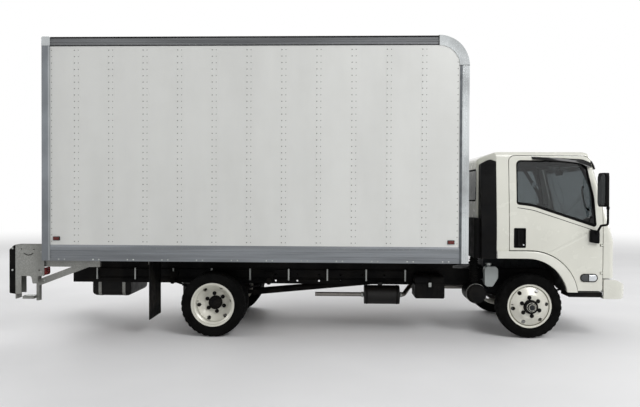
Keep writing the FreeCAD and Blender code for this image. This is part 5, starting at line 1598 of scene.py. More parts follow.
        bezel = Work.band("headlamp_bezel", self.lamp, 0.009, seat(-0.018), (-0.045, 0, 0))
        both(bezel.sharp_bevel(0.003, 2), CHROME, CAB)
        both(Work.slab("headlamp_back", self.lamp, seat(0.0275), (0.003, 0, 0)), SMOKED_LENS, CAB)
        back = face - 0.024
        for k, (y, radius) in enumerate(((-0.725, 0.048), (-0.838, 0.052))):
            bowl = Work.turned(f"headlamp_bowl_{k}", [(0.004, 0.0), (0.005, radius * 0.45),
                    (0.012, radius * 0.85), (0.021, radius), (0.021, radius + 0.004), (0.0, radius + 0.004)],
                (back, y, 0.862))
            bowl.lay(lambda p: (back + p.y - y, y - p.x + back, p.z))
            both(bowl, REFLECTOR, CAB, 50)
            bulb = Work.rod(f"headlamp_bulb_{k}", (face - 0.020, y, 0.862), (face + 0.002, y, 0.862), 0.009,
                0.006, sides=16, edge=0.002)
            both(bulb, CHROME, CAB)
        amber = Work.slab("headlamp_amber", [(-0.925, 0.790, 0.015), (-0.925, 0.935, 0.02),
                (-0.900, 0.935, 0.006), (-0.900, 0.790, 0.006)], seat(0.022), (0.024, 0, 0), 0.003)
        both(amber, AMBER_LENS, CAB)
        cover = [(a + 0.008 if a < -0.9 else a - 0.008, b + (0.008 if b < 0.8 else -0.008), r) for a, b,
            r in self.lamp]
        both(Work.slab("headlamp_cover", cover, seat(-0.010), (0.004, 0, 0), 0.0012), CLEAR_LENS, CAB)

    def seams(self) -> None:
        """Adds a line of painted shade for the front panel's pressing, and the bumper's slats."""
        # A thin dark band of painted shade stands for the shadow in the front panel's pressing.
        line = Work.band("nose_pressing_shade", oblong(-0.80, 1.142, 0.80, 1.160, 0.01), 0.003,
            across(CAB_NOSE + 0.0012), (-0.002, 0, 0))
        line.dress(SEAM_SHADOW, CAB)
        slat = Work.cube("bumper_slats", (3.6645, -0.424, 0.5625), (3.6740, -0.418, 0.6295), 0.001, 1)
        slat.row(36, (0, 0.02405, 0)).dress(BLACK_PLASTIC, BASE)

    def arches(self) -> None:
        """Adds the flared lips of the wheel arches, with their pressed crown, in place of the plain ones."""
        outer = self.arch_line(0.542, 1.054, 0.560)
        inner = self.arch_line(0.420, 0.969, 0.480)
        lip = Work.slab("arch_lip", outer + inner[::-1], along(-0.940, FRONT_AXLE), (0, -0.090, 0))
        lip.pick_edges(lambda p, d: p.y < -1.029 and min(math.hypot(p.x - FRONT_AXLE - a, p.z - b) for a,
                b in outer) < 0.035 and abs(d.y) < 0.5).cut_bevel(0.024, 2)
        both(lip, ARCH, CAB, 25)
        liner = Work.slab("arch_liner", self.arch_line(0.428, 0.977, 0.488) + inner[::-1],
            along(-0.940, FRONT_AXLE), (0, 0.340, 0))
        both(liner, BLACK_PLASTIC, CAB, 25)
        for word in ("right", "left"):
            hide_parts("wheel_arches")

    @staticmethod
    def arch_line(front: float, top: float, radius: float) -> list[tuple[float, float]]:
        """Draws a wheel arch line from its rear end over the top down to its front foot.

        Args:
            front: Its foremost place, from the front axle.
            top: Height of its flat.
            radius: Radius of its front quarter.

        Returns:
            The line's points.
        """
        line = [(-0.413, top), (front - radius, top)]
        for k in range(1, 17):
            turn = math.pi / 2 * k / 16
            spot = (front - radius + radius * math.sin(turn), top - radius + radius * math.cos(turn))
            if spot[1] > 0.572:
                line.append(spot)
        foot = top - radius
        turn = math.asin(min(1.0, max(0.0, (0.572 - foot) / radius)))
        line.append((front - radius + radius * math.cos(turn), 0.572))
        return line

    def steps(self) -> None:
        """Adds the entry steps' grip plates and the snorkel's louvres."""
        plate = Work.cube("step_plate", (FRONT_AXLE + 0.445, -0.985, 0.568),
            (FRONT_AXLE + 0.818, -0.760, 0.5725), 0.002, 1)
        both(plate, ZINC, CAB)
        rib = Work.cube("step_ribs", (FRONT_AXLE + 0.455, -0.978, 0.572), (FRONT_AXLE + 0.808, -0.970, 0.5765),
            0.0015, 1)
        both(rib.row(9, (0, 0.026, 0)), BLACK_RUBBER, CAB)
        edge = Work.cube("step_edge", (FRONT_AXLE + 0.436, -0.9935, 0.520), (FRONT_AXLE + 0.824, -0.991, 0.528),
            0.001, 1)
        both(edge.row(2, (0, 0, 0.026)), BLACK_PLASTIC, CAB)
        louvre = Work.cube("snorkel_louvres", (FRONT_AXLE - 0.570, -0.9395, 1.960),
            (FRONT_AXLE - 0.450, -0.930, 1.966), 0.0015, 1)
        louvre.row(9, (0, 0, 0.016)).lay(lambda p: (p.x, p.y + 0.0819 * (p.z - 1.96) - 0.0095, p.z))
        louvre.dress(BLACK_PLASTIC, CAB)

    def build(self) -> None:
        """Makes and dresses all of it."""
        self.glazing()
        self.wipers()
        self.visor()
        self.grilles()
        self.headlamps()
        self.seams()
        self.arches()
        self.steps()


# Cab inside


@dataclass(frozen=True)
class Pad:
    """One seat cushion or back: its side outline, its ends and its sewn channels."""

    name: str
    outline: tuple[Point, ...]
    low_y: float
    high_y: float
    channels: tuple[float, ...]
    cross: tuple[float, ...]
    face: Point
    fill: float = 0.7


@dataclass
class Seats:
    """Driver's seat and double passenger seat: four stuffed pads that stand for the plain ones."""

    voxel: float = 0.010
    pressure: float = 4.0
    frames: int = 20
    cap: float = 0.024
    groove: float = 0.010
    groove_width: float = 0.009
    pull: float = 0.010
    cushion_half: float = 0.28
    back_half: float = 0.30
    driver_seams: tuple[float, ...] = (0.30, 0.54)
    bench_seams: tuple[float, ...] = (-0.77, -0.62, -0.51, -0.40, -0.25)
    cushion_cross: tuple[float, ...] = (0.06,)
    back_cross: tuple[float, ...] = (1.36, 1.62)
    cushion: tuple[Point, ...] = ((-0.298, 1.0815, 0.02), (-0.298, 1.190, 0.03), (0.236, 1.206, 0.05),
        (0.236, 1.0815, 0.03))
    back: tuple[Point, ...] = ((-0.290, 1.207, 0.01), (-0.182, 1.212, 0.03), (-0.282, 1.788, 0.034),
        (-0.361, 1.788, 0.034))

    def pads(self) -> tuple[Pad, ...]:
        """Returns the four pads."""
        pads = []
        for word, low, high, seams in (("driver", 0.188, 0.652, self.driver_seams),
                ("passenger", -0.872, -0.148, self.bench_seams)):
            pads.append(Pad(word + "_cushion", self.cushion, low, high, seams, self.cushion_cross,
                    (0.0, 0.0, 1.0)))
            pads.append(Pad(word + "_back", self.back, low, high, seams, self.back_cross, (0.985, 0.0, 0.17)))
        return tuple(pads)

    def stuffed(self, pad: Pad) -> Work:
        """Sews, fills and channels one pad.

        Args:
            pad: The pad's measures.

        Returns:
            The piece on the bench.
        """
        work = Work.slab(pad.name, pad.outline, along(pad.low_y, FRONT_AXLE), (0, pad.high_y - pad.low_y, 0),
            0.018)
        work.modify("REMESH", mode="VOXEL", voxel_size=self.voxel)
        self.fill(work)
        face = Vector(pad.face)
        mesh = work.obj.data
        middle = sum((v.co for v in mesh.vertices), Vector()) / len(mesh.vertices)
        half = (pad.high_y - pad.low_y) / 2
        upright = pad.face[2] < 0.5
        normals = [Vector(v.normal) for v in mesh.vertices]
        for vertex, normal in zip(mesh.vertices, normals):
            spot = vertex.co
            place = spot.z if upright else spot.x - FRONT_AXLE
            gap = min([abs(spot.y - y) for y in pad.channels] + [abs(place - c) for c in pad.cross])
            shown = max(0.0, normal.dot(face))
            sunk = self.groove * math.exp(-(gap / self.groove_width) ** 2) * min(1.0, shown * 1.6)
            aside = (spot.y - middle.y) / half
            reach = (spot.z - middle.z) / self.back_half if upright else (spot.x - middle.x) / self.cushion_half
            inward = self.pull * (1 - reach ** 2)
            vertex.co = spot - normal * sunk - Vector(
                (0, math.copysign(max(0.0, inward) * aside ** 4, aside), 0))
        mesh.update()
        return work.modify("SUBSURF", levels=1, render_levels=1)

    def fill(self, work: Work) -> None:
        """Blows a pad up as cloth, holds back what moves too far and keeps the result.

        Args:
            work: The pad's sewn form.
        """
        start = [Vector(v.co) for v in work.obj.data.vertices]
        work.hold()
        cloth = work.obj.modifiers.new("stuffing", "CLOTH")
        cloth.settings.quality = 5
        cloth.settings.mass = 0.3
        cloth.settings.use_pressure = True
        cloth.settings.uniform_pressure_force = self.pressure
        cloth.settings.effector_weights.gravity = 0
        floor = min(p.z for p in start) + 0.004
        group = work.obj.vertex_groups.new(name="resting")
        group.add([i for i, p in enumerate(start) if p.z < floor], 1.0, "REPLACE")
        cloth.settings.vertex_group_mass = group.name
        scene = bpy.context.scene
        for step in range(1, self.frames + 1):
            scene.frame_set(step)
        bpy.ops.object.modifier_apply(modifier=cloth.name)
        for vertex, place in zip(work.obj.data.vertices, start):
            move = vertex.co - place
            if move.length > self.cap:
                vertex.co = place + move.normalized() * self.cap
        work.obj.vertex_groups.clear()
        scene.frame_set(1)

    def build(self) -> None:
        """Makes the pads, their recliner covers and the belts."""
        for pad in self.pads():
            obj = self.stuffed(pad).dress(CLOTH, CAB, 80, "seats")
        for k, y in enumerate((0.172, 0.664, -0.892)):
            cover = Work.slab(f"recliner_cover_{k}", [(-0.345, 1.120, 0.03), (-0.345, 1.300, 0.05),
                    (-0.215, 1.290, 0.05), (-0.155, 1.120, 0.03)], along(y - 0.006, FRONT_AXLE), (0, 0.012, 0),
                0.004)
            cover.dress(INTERIOR_DARK, CAB)
        belt = Work.tube("passenger_belt", [(FRONT_AXLE - 0.222, -0.872, 2.070),
                (FRONT_AXLE - 0.12, -0.80, 2.060), (FRONT_AXLE - 0.030, -0.752, 2.032),
                (FRONT_AXLE + 0.079, -0.750, 1.845), (FRONT_AXLE + 0.134, -0.750, 1.766),
                (FRONT_AXLE + 0.185, -0.74, 1.62), (FRONT_AXLE + 0.16, -0.70, 1.42),
                (FRONT_AXLE + 0.02, -0.60, 1.262), (FRONT_AXLE - 0.12, -0.535, 1.232)], 0.0016, 0.022)
        belt.dress(BELT, CAB, 60)
        tongue = Work.slab("belt_tongue", oblong(0.062, 1.815, 0.104, 1.872, 0.008), along(-0.758, FRONT_AXLE),
            (0, -0.005, 0), 0.0015)
        tongue.dress(CHROME, CAB)
        driver = Work.tube("driver_belt", [(FRONT_AXLE - 0.222, 0.872, 2.070),
                (FRONT_AXLE - 0.235, 0.865, 1.90), (FRONT_AXLE - 0.240, 0.86, 1.50),
                (FRONT_AXLE - 0.235, 0.86, 1.16)], 0.0016, 0.022)
        driver.dress(BELT, CAB, 60)
        guide = Work.cube("belt_guide", (FRONT_AXLE - 0.262, -0.8845, 2.045),
            (FRONT_AXLE - 0.200, -0.862, 2.098), 0.006)
        both(guide, INTERIOR_DARK, CAB)
        for k, y in enumerate((-0.52, 0.15)):
            buckle = Work.cube(f"belt_buckle_{k}", (FRONT_AXLE - 0.150, y - 0.011, 1.15),
                (FRONT_AXLE - 0.095, y + 0.011, 1.262), 0.005)
            buckle.pick(lambda p, n: n.z > 0.9).inset(0.004, -0.004)
            buckle.dress(INTERIOR_DARK, CAB)


@dataclass
class Cockpit:
    """Instruments, vents, pedals, levers, a dark header strip that is partly painted shade, and visors round
    the seats.
    """

    dials: tuple[float, ...] = (0.345, 0.42, 0.495)
    vents: tuple[float, ...] = (-0.80, -0.16, 0.10, 0.80)
    pedals: tuple[tuple[float, float], ...] = ((0.56, 0.030), (0.43, 0.035), (0.30, 0.028))
    sun_visors: tuple[float, float] = (-0.44, 0.44)

    def dash(self) -> None:
        """Adds the instrument hood, dials, vents, radio and glovebox lid."""
        x = FRONT_AXLE
        hood = Work.slab("instrument_hood", [(0.690, 1.236, 0.01), (0.662, 1.300, 0.02), (0.700, 1.318, 0.03),
                (0.860, 1.236, 0.01)], along(0.225, x), (0, 0.39, 0), 0.010)
        hood.pick(lambda p, n: n.x < -0.8 and abs(p.y - 0.42) < 0.1).inset(0.012, -0.012)
        hood.dress(INTERIOR_DARK, CAB)
        for k, y in enumerate(self.dials):
            dial = Work.rod(f"dial_{k}", (x + 0.690, y, 1.268), (x + 0.674, y, 1.272), 0.026, sides=32,
                edge=0.002)
            dial.pick(lambda p, n: n.x < -0.9).inset(0.003, -0.002)
            dial.dress(GLOSS_BLACK, CAB)
        for k, y in enumerate(self.vents):
            frame_work = Work.slab(f"vent_{k}", oblong(y - 0.062, 1.165, y + 0.062, 1.222, 0.012), lambda a,
                b: (x + 0.676 + 0.25 * (b - 1.19), a, b), (-0.010, 0, 0), 0.002)
            frame_work.pick(lambda p, n: n.x < -0.8).inset(0.006, -0.006)
            frame_work.dress(INTERIOR_DARK, CAB)
            fin = Work.cube(f"vent_fins_{k}", (x + 0.664, y - 0.055, 1.175), (x + 0.672, y + 0.055, 1.178),
                0.0008, 1)
            fin.row(4, (0.0025, 0, 0.0115)).dress(BLACK_PLASTIC, CAB)
        radio = Work.slab("radio", oblong(-0.11, 1.085, 0.07, 1.145, 0.004), across(x + 0.655), (-0.016, 0, 0),
            0.002)
        radio.pick(lambda p, n: n.x < -0.9).inset(0.006, -0.002)
        radio.dress(GLOSS_BLACK, CAB)
        knob = Work.rod("radio_knobs", (x + 0.640, -0.088, 1.10), (x + 0.626, -0.088, 1.10), 0.009, 0.008,
            sides=20, edge=0.0015)
        knob.row(3, (0, 0.068, 0)).dress(INTERIOR_DARK, CAB)
        lid = Work.slab("glovebox_lid", oblong(-0.70, 1.020, -0.26, 1.140, 0.02), lambda a,
            b: (x + 0.657 + 0.1 * (1.1 - b), a, b), (-0.010, 0, 0), 0.003)
        lid.pick(lambda p, n: n.x < -0.8).inset(0.012, -0.002)
        lid.dress(INTERIOR, CAB)
        pad = Work.slab("dash_pad", [(0.700, 1.2385, 0.01), (0.706, 1.2465, 0.004), (0.905, 1.2465, 0.004),
                (0.905, 1.2385, 0.003)], along(-0.84, x), (0, 1.68, 0), 0.002)
        pad.dress(INTERIOR_DARK, CAB)

    def controls(self) -> None:
        """Adds the pedals, column shroud and stalks, gear lever and parking brake lever."""
        x = FRONT_AXLE
        for k, (y, wide) in enumerate(self.pedals):
            plate = Work.slab(f"pedal_{k}", oblong(y - wide, 0.90, y + wide, 0.97, 0.008), lambda a,
                b: (x + 0.70 + 0.5 * (b - 0.90), a, b), (-0.012, 0, 0), 0.003)
            rib = Work.cube(f"pedal_ribs_{k}", (x + 0.692, y - wide + 0.006, 0.908),
                (x + 0.698, y + wide - 0.006, 0.912), 0.001, 1)
            rib.row(5, (0.006, 0, 0.012))
            arm = Work.tube(f"pedal_arm_{k}", [(x + 0.715, y, 0.93), (x + 0.77, y, 0.99), (x + 0.79, y, 1.06),
                    (x + 0.78, y, 1.10)], 0.006)
            plate.join(rib, arm).dress(BLACK_RUBBER, CAB)
        shroud = Work.slab("column_shroud", [(0.470, 1.350, 0.01), (0.440, 1.420, 0.03), (0.500, 1.440, 0.03),
                (0.660, 1.230, 0.02), (0.600, 1.180, 0.02)], along(0.365, x), (0, 0.11, 0), 0.014)
        shroud.dress(INTERIOR_DARK, CAB)
        for k, way in enumerate((-1, 1)):
            stalk = Work.tube(f"column_stalk_{k}", [(x + 0.485, 0.42 + way * 0.04, 1.405),
                    (x + 0.470, 0.42 + way * 0.11, 1.415), (x + 0.462, 0.42 + way * 0.165, 1.430)], 0.0065)
            stalk.dress(BLACK_PLASTIC, CAB)
        console = Work.slab("lever_console", [(0.33, 0.852, 0.01), (0.33, 1.16, 0.03), (0.43, 1.19, 0.04),
                (0.62, 1.06, 0.05), (0.62, 0.852, 0.02)], along(-0.075, x), (0, 0.15, 0), 0.015)
        console.dress(INTERIOR, CAB)
        gaiter = Work.rod("lever_gaiter", (x + 0.40, 0.0, 1.175), (x + 0.395, 0.0, 1.225), 0.045, 0.018,
            sides=24, edge=0.004)
        gaiter.dress(BLACK_RUBBER, CAB)
        lever = Work.tube("gear_lever", [(x + 0.398, 0.0, 1.20), (x + 0.390, 0.0, 1.30), (x + 0.375, 0.0, 1.36),
                (x + 0.37, 0.0, 1.385)], 0.0065)
        lever.dress(CHROME, CAB)
        knob = Work.rod("gear_knob", (x + 0.372, 0.0, 1.375), (x + 0.366, 0.0, 1.425), 0.020, 0.024, sides=24,
            edge=0.008)
        knob.dress(INTERIOR_DARK, CAB)
        brake = Work.tube("park_brake_lever", [(x + 0.20, 0.075, 1.09), (x + 0.21, 0.075, 1.16),
                (x + 0.30, 0.075, 1.21), (x + 0.36, 0.075, 1.225)], 0.011)
        brake.dress(INTERIOR_DARK, CAB)

    def overhead(self) -> None:
        """Adds a dark header strip over each door, partly trim and partly painted shade of the cab's inside,
        the sun visors, the inside mirror and the roof lamp.
        """
        x = FRONT_AXLE
        # The header strip is partly real trim and partly painted shade: a dark sheet where the cab's inside
        # lies in shade.
        header = Work.slab("door_header_shade", [(-0.235, 2.015, 0.02), (-0.235, 2.150, 0.01), (0.60, 2.146, 0.02),
                (0.640, 2.075, 0.02), (0.226, 2.068, 0.1), (-0.10, 2.050, 0.1)], along(-0.846, x),
            (0, 0.012, 0), 0.003)
        both(header, INTERIOR_DARK, CAB)
        lining = Work.slab("roof_lining", [(-0.40, -0.80, 0.06), (-0.40, 0.80, 0.06), (0.56, 0.80, 0.08),
                (0.56, -0.80, 0.08)], lambda a, b: (x + a, b, 2.178), (0, 0, 0.0125), 0.003)
        lining.dress(INTERIOR, CAB)
        for k, y in enumerate(self.sun_visors):
            visor = Work.slab(f"sun_visor_{k}", oblong(y - 0.20, 2.085, y + 0.20, 2.165, 0.02), lambda a,
                b: (x + 0.600 - 0.5 * (b - 2.085), a, b), (-0.014, 0, 0), 0.005)
            visor.dress(INTERIOR, CAB)
        glass = Work.slab("inside_mirror", oblong(-0.12, 1.985, 0.12, 2.045, 0.025), across(x + 0.640),
            (0.022, 0, 0), 0.005)
        stem = Work.tube("mirror_stem", [(x + 0.655, 0, 2.02), (x + 0.668, 0, 2.06), (x + 0.66, 0, 2.11),
                (x + 0.64, 0, 2.165)], 0.006)
        glass.join(stem).dress(INTERIOR_DARK, CAB)
        lamp = Work.slab("roof_lamp", oblong(0.12, -0.05, 0.20, 0.05, 0.015), lambda a, b: (x + a, b, 2.179),
            (0, 0, -0.016), 0.004)
        lamp.dress(REFLECTOR, CAB)
        grip = Work.tube("pillar_grip", [(x + 0.655, -0.835, 1.83), (x + 0.640, -0.812, 1.80),
                (x + 0.665, -0.806, 1.68), (x + 0.700, -0.812, 1.56), (x + 0.730, -0.838, 1.53)], 0.011)
        both(grip, INTERIOR_DARK, CAB)

    def mat(self) -> None:
        """Adds the rubber floor mat with its ribs."""
        mat = Work.cube("floor_mat", (FRONT_AXLE + 0.39, -0.86, 0.8502), (FRONT_AXLE + 0.86, 0.86, 0.856),
            0.002, 1)
        rib = Work.cube("mat_ribs", (FRONT_AXLE + 0.40, -0.84, 0.855), (FRONT_AXLE + 0.84, -0.832, 0.8585),
            0.001, 1)
        mat.join(rib.row(33, (0, 0.0523, 0))).dress(BLACK_RUBBER, CAB)

    def build(self) -> None:
        """Makes and dresses all of it."""
        self.dash()
        self.controls()
        self.overhead()
        self.mat()


# Chassis


@dataclass
class Underbody:
    """Fasteners, dampers, straps, pipes and covers on the chassis."""

    rail_y: float = 0.425
    clamps: tuple[tuple, ...] = (("front", FRONT_AXLE, -0.392, 0.049, 0.436, 0.298),
        ("rear", REAR_AXLE, -0.495, 0.071, 0.496, 0.320))
    damper_ends: tuple[tuple, ...] = (("front", (FRONT_AXLE + 0.085, -0.462, 0.395),
            (FRONT_AXLE + 0.160, -0.462, 0.705), (0, 0.038, 0)), ("rear", (REAR_AXLE + 0.095, -0.330, 0.400),
            (REAR_AXLE + 0.200, -0.330, 0.690), (0, -0.088, 0)))
    tank_outline: tuple[Point, ...] = ((-0.3515, 0.3675, 0.063), (-0.3515, 0.6435, 0.063),
        (0.3515, 0.6435, 0.063), (0.3515, 0.3675, 0.063))
    tank_straps: tuple[float, float] = (-2.910, -2.593)
    drum: tuple[float, float] = (-0.560, 0.455)
    rail_pipes: tuple[tuple[float, float], ...] = ((0.618, 0.005), (0.634, 0.005), (0.742, 0.011))

    def u_bolts(self) -> None:
        """Adds the clamp plates and U-bolts that hold the axles to the springs."""
        for stem, x, y, wide, top, low in self.clamps:
            plate = Work.cube("plate", (x - wide - 0.018, y - 0.046, top),
                (x + wide + 0.018, y + 0.046, top + 0.013), 0.003)
            foot = Work.cube("foot", (x - wide - 0.018, y - 0.046, low - 0.012),
                (x + wide + 0.018, y + 0.046, low), 0.003)
            bolts = []
            for way in (-1, 1):
                at = x + way * wide
                bolts.append(Work.tube("bolt", [(at, y - 0.038, low - 0.042), (at, y - 0.038, top),
                            (at, y - 0.038, top + 0.018), (at, y - 0.030, top + 0.026), (at, y, top + 0.028),
                            (at, y + 0.030, top + 0.026), (at, y + 0.038, top + 0.018), (at, y + 0.038, top),
                            (at, y + 0.038, low - 0.042)], 0.0075))
                for side in (-1, 1):
                    bolts.append(hexagon("nut", (at, y + side * 0.038, low - 0.012),
                            (at, y + side * 0.038, low - 0.030), 0.027))
            both(plate.join(foot, *bolts), SPRING, BASE, stem=stem + "_spring_clamps")

    def dampers(self) -> None:
        """Adds a telescopic damper beside each spring with its end brackets."""
        for stem, low, high, pin in self.damper_ends:
            a, b = Vector(low), Vector(high)
            body = Work.rod("tube", a, a.lerp(b, 0.58), 0.026, sides=24, edge=0.004)
            cover = Work.rod("cover", a.lerp(b, 0.50), b, 0.031, sides=24, edge=0.004)
            eye_low = Work.rod("eye", a - Vector((0, 0.022, 0)), a + Vector((0, 0.022, 0)), 0.020, sides=20,
                edge=0.003)
            eye_high = Work.rod("eye", b - Vector((0, 0.022, 0)), b + Vector(pin), 0.018, sides=20, edge=0.003)
            stub = Work.rod("stub", a, a - Vector((0.075, -0.010 if stem == "front" else 0.0, 0.02)), 0.013,
                sides=16)
            both(body.join(cover, eye_low, eye_high, stub), TANK, BASE, stem=stem + "_damper")

    def tank_and_battery(self) -> None:
        """Adds the tank's straps, cap, sender and fuel pipe, and the battery cover's strap, ribs and catch."""
        for k, x in enumerate(self.tank_straps):
            strap = Work.band(f"tank_strap_{k}", self.tank_outline, 0.0032, across(x), (0.040, 0, 0))
            strap.dress(ZINC, BASE)
        cap = Work.rod("tank_cap", (-2.735, -0.20, 0.638), (-2.735, -0.20, 0.668), 0.044, 0.041, sides=32,
            edge=0.004)
        cap.pick(lambda p, n: n.z > 0.9).inset(0.010, -0.004)
        cap.dress(BLACK_PLASTIC, BASE)
        sender = Work.rod("tank_sender", (-2.735, 0.08, 0.639), (-2.735, 0.08, 0.647), 0.040, sides=32,
            edge=0.002)
        screw = rivet_grid("screws", (-2.705, 0.08, 0.647), (0, 0, 1), 0.004, (1, (0, 0, 0)))
        sender.join(screw.ring(6, (-2.735, 0.08, 0.647), (0, 0, 1))).dress(ZINC_BOLT, BASE)
        line = Work.tube("fuel_pipe", [(-2.735, 0.08, 0.645), (-2.735, 0.10, 0.672), (-2.60, 0.25, 0.675),
                (-2.45, 0.335, 0.66), (-2.2, 0.352, 0.655), (-1.0, 0.352, 0.655), (0.6, 0.352, 0.655),
                (1.3, 0.352, 0.655)], 0.005)
        line.dress(BLACK_PLASTIC, BASE)
        band = Work.band("battery_strap", [(-0.7640, 0.626, 0.001), (-0.7640, 0.7365, 0.061),
                (-0.4460, 0.7365, 0.061), (-0.4460, 0.626, 0.001)], 0.004, across(1.365), (0.028, 0, 0))
        band.dress(BLACK_RUBBER, BASE)
        rib = Work.cube("battery_ribs", (1.225, -0.7685, 0.462), (1.233, -0.764, 0.600), 0.0015, 1)
        rib.row(6, (0.0600, 0, 0)).dress(BLACK_PLASTIC, BASE)
        catch = Work.cube("battery_catch", (1.362, -0.781, 0.585), (1.396, -0.7735, 0.640), 0.002)
        catch.dress(ZINC_BOLT, BASE)

    def breathing(self) -> None:
        """Adds the silencer's bands, pipe clamps, the air cleaner's lid clips and the duct's rubber boot."""
        y, z = self.drum
        band = Work.rod("silencer_bands", (0.600, y, z), (0.622, y, z), 0.1205, sides=48, edge=0.002)
        band.row(2, (0.378, 0, 0)).dress(SPRING, BASE)
        for k, x in enumerate((0.545, 1.030)):
            clamp = Work.rod(f"pipe_clamp_{k}", (x, y, z), (x + 0.026, y, z), 0.0335, sides=24, edge=0.003)
            lug = Work.cube("lug", (x + 0.004, y - 0.052, z - 0.007), (x + 0.022, y - 0.030, z + 0.007), 0.002,
                1)
            clamp.join(lug).dress(ZINC_BOLT, BASE)
        x, low = FRONT_AXLE - 0.605, 0.506
        lid = Work.rod("cleaner_band", (x, -0.738, low), (x, -0.752, low), 0.1215, sides=48, edge=0.002)
        clip = Work.cube("clip", (x - 0.014, -0.776, low + 0.108), (x + 0.014, -0.724, low + 0.124), 0.002, 1)
        lid.join(clip.ring(3, (x, 0, low))).dress(ZINC, BASE)
        spot = (x - 0.008, -0.640)
        boot = Work.rod("duct_boot", (*spot, 0.600), (*spot, 0.948), 0.046, sides=28, edge=0.003)
        ring = Work.rod("boot_ring", (*spot, 0.640), (*spot, 0.658), 0.055, 0.055, sides=28, edge=0.007)
        boot.join(ring.row(11, (0, 0, 0.0265))).dress(BLACK_RUBBER, BASE, 50)
        cap = Work.rod("bottle_cap", (FRONT_AXLE - 0.440, -0.697, 0.8565), (FRONT_AXLE - 0.440, -0.697, 0.8815),
            0.0350, 0.0345, sides=24, edge=0.003)
        cap.dress(ZINC_BOLT, BASE)
        hose = Work.tube("bottle_hose", [(FRONT_AXLE - 0.42, -0.69, 0.60), (FRONT_AXLE - 0.42, -0.66, 0.565),
                (FRONT_AXLE - 0.40, -0.55, 0.55), (FRONT_AXLE - 0.36, -0.44, 0.60),
                (FRONT_AXLE - 0.34, -0.32, 0.70)], 0.010)
        hose.dress(BLACK_RUBBER, BASE)

    def lines(self) -> None:
        """Adds the pipes and wiring along the rails, their clips and the flap bars."""
        for k, (z, radius) in enumerate(self.rail_pipes):
            pipe = Work.rod(f"rail_pipe_{k}", (-2.95, -self.rail_y - radius - 0.001, z),
                (1.15, -self.rail_y - radius - 0.001, z), radius, sides=10)
            pipe.dress(BLACK_PLASTIC, BASE)
        clip = Work.cube("pipe_clips", (-2.90, -self.rail_y - 0.0245, 0.606),
            (-2.88, -self.rail_y - 0.0005, 0.756), 0.002, 1)
        clip.row(9, (0.5, 0, 0)).dress(ZINC_BOLT, BASE)
        bar = Work.cube("flap_bar", (-2.0285, -1.056, 0.868), (-2.0205, -0.594, 0.904), 0.002)
        bolt = hexagon("bolt", (-2.0285, -1.02, 0.886), (-2.037, -1.02, 0.886), 0.016)
        both(bar.join(bolt.row(4, (0, 0.13, 0))), ZINC, BASE)

    def engine(self) -> None:
        """Adds the cover, casting ribs, sump flange and pulleys that show round the plain engine."""
        x = FRONT_AXLE
        cover = Work.slab("rocker_cover", [(-0.26, 1.008, 0.01), (-0.26, 1.030, 0.02), (0.20, 1.030, 0.02),
                (0.20, 1.008, 0.01)], along(-0.10, x), (0, 0.22, 0), 0.010)
        cover.dress(CHASSIS, BASE)
        fan = Work.rod("fan_pulley", (x + 0.300, 0, 0.780), (x + 0.322, 0, 0.780), 0.090, sides=36, edge=0.004)
        fan.pick(lambda p, n: n.x > 0.9).inset(0.018, -0.008)
        crank = Work.rod("crank_pulley", (x + 0.300, 0, 0.590), (x + 0.325, 0, 0.590), 0.075, sides=36,
            edge=0.004)
        crank.pick(lambda p, n: n.x > 0.9).inset(0.016, -0.008)
        fan.join(crank).dress(AXLE, BASE)
        rib = Work.cube("casting_ribs", (x - 0.25, -0.309, 0.56), (x - 0.238, -0.299, 0.86), 0.003, 1)
        both(rib.row(6, (0.09, 0, 0)), ENGINE, BASE)
        flange = Work.cube("sump_flange", (x - 0.35, -0.306, 0.545), (x + 0.24, 0.306, 0.556), 0.002, 1)
        flange.dress(ENGINE, BASE)

    def build(self) -> None:
        """Makes and dresses all of it."""
        self.u_bolts()
        self.dampers()
        self.tank_and_battery()
        self.breathing()
        self.lines()
        self.engine()


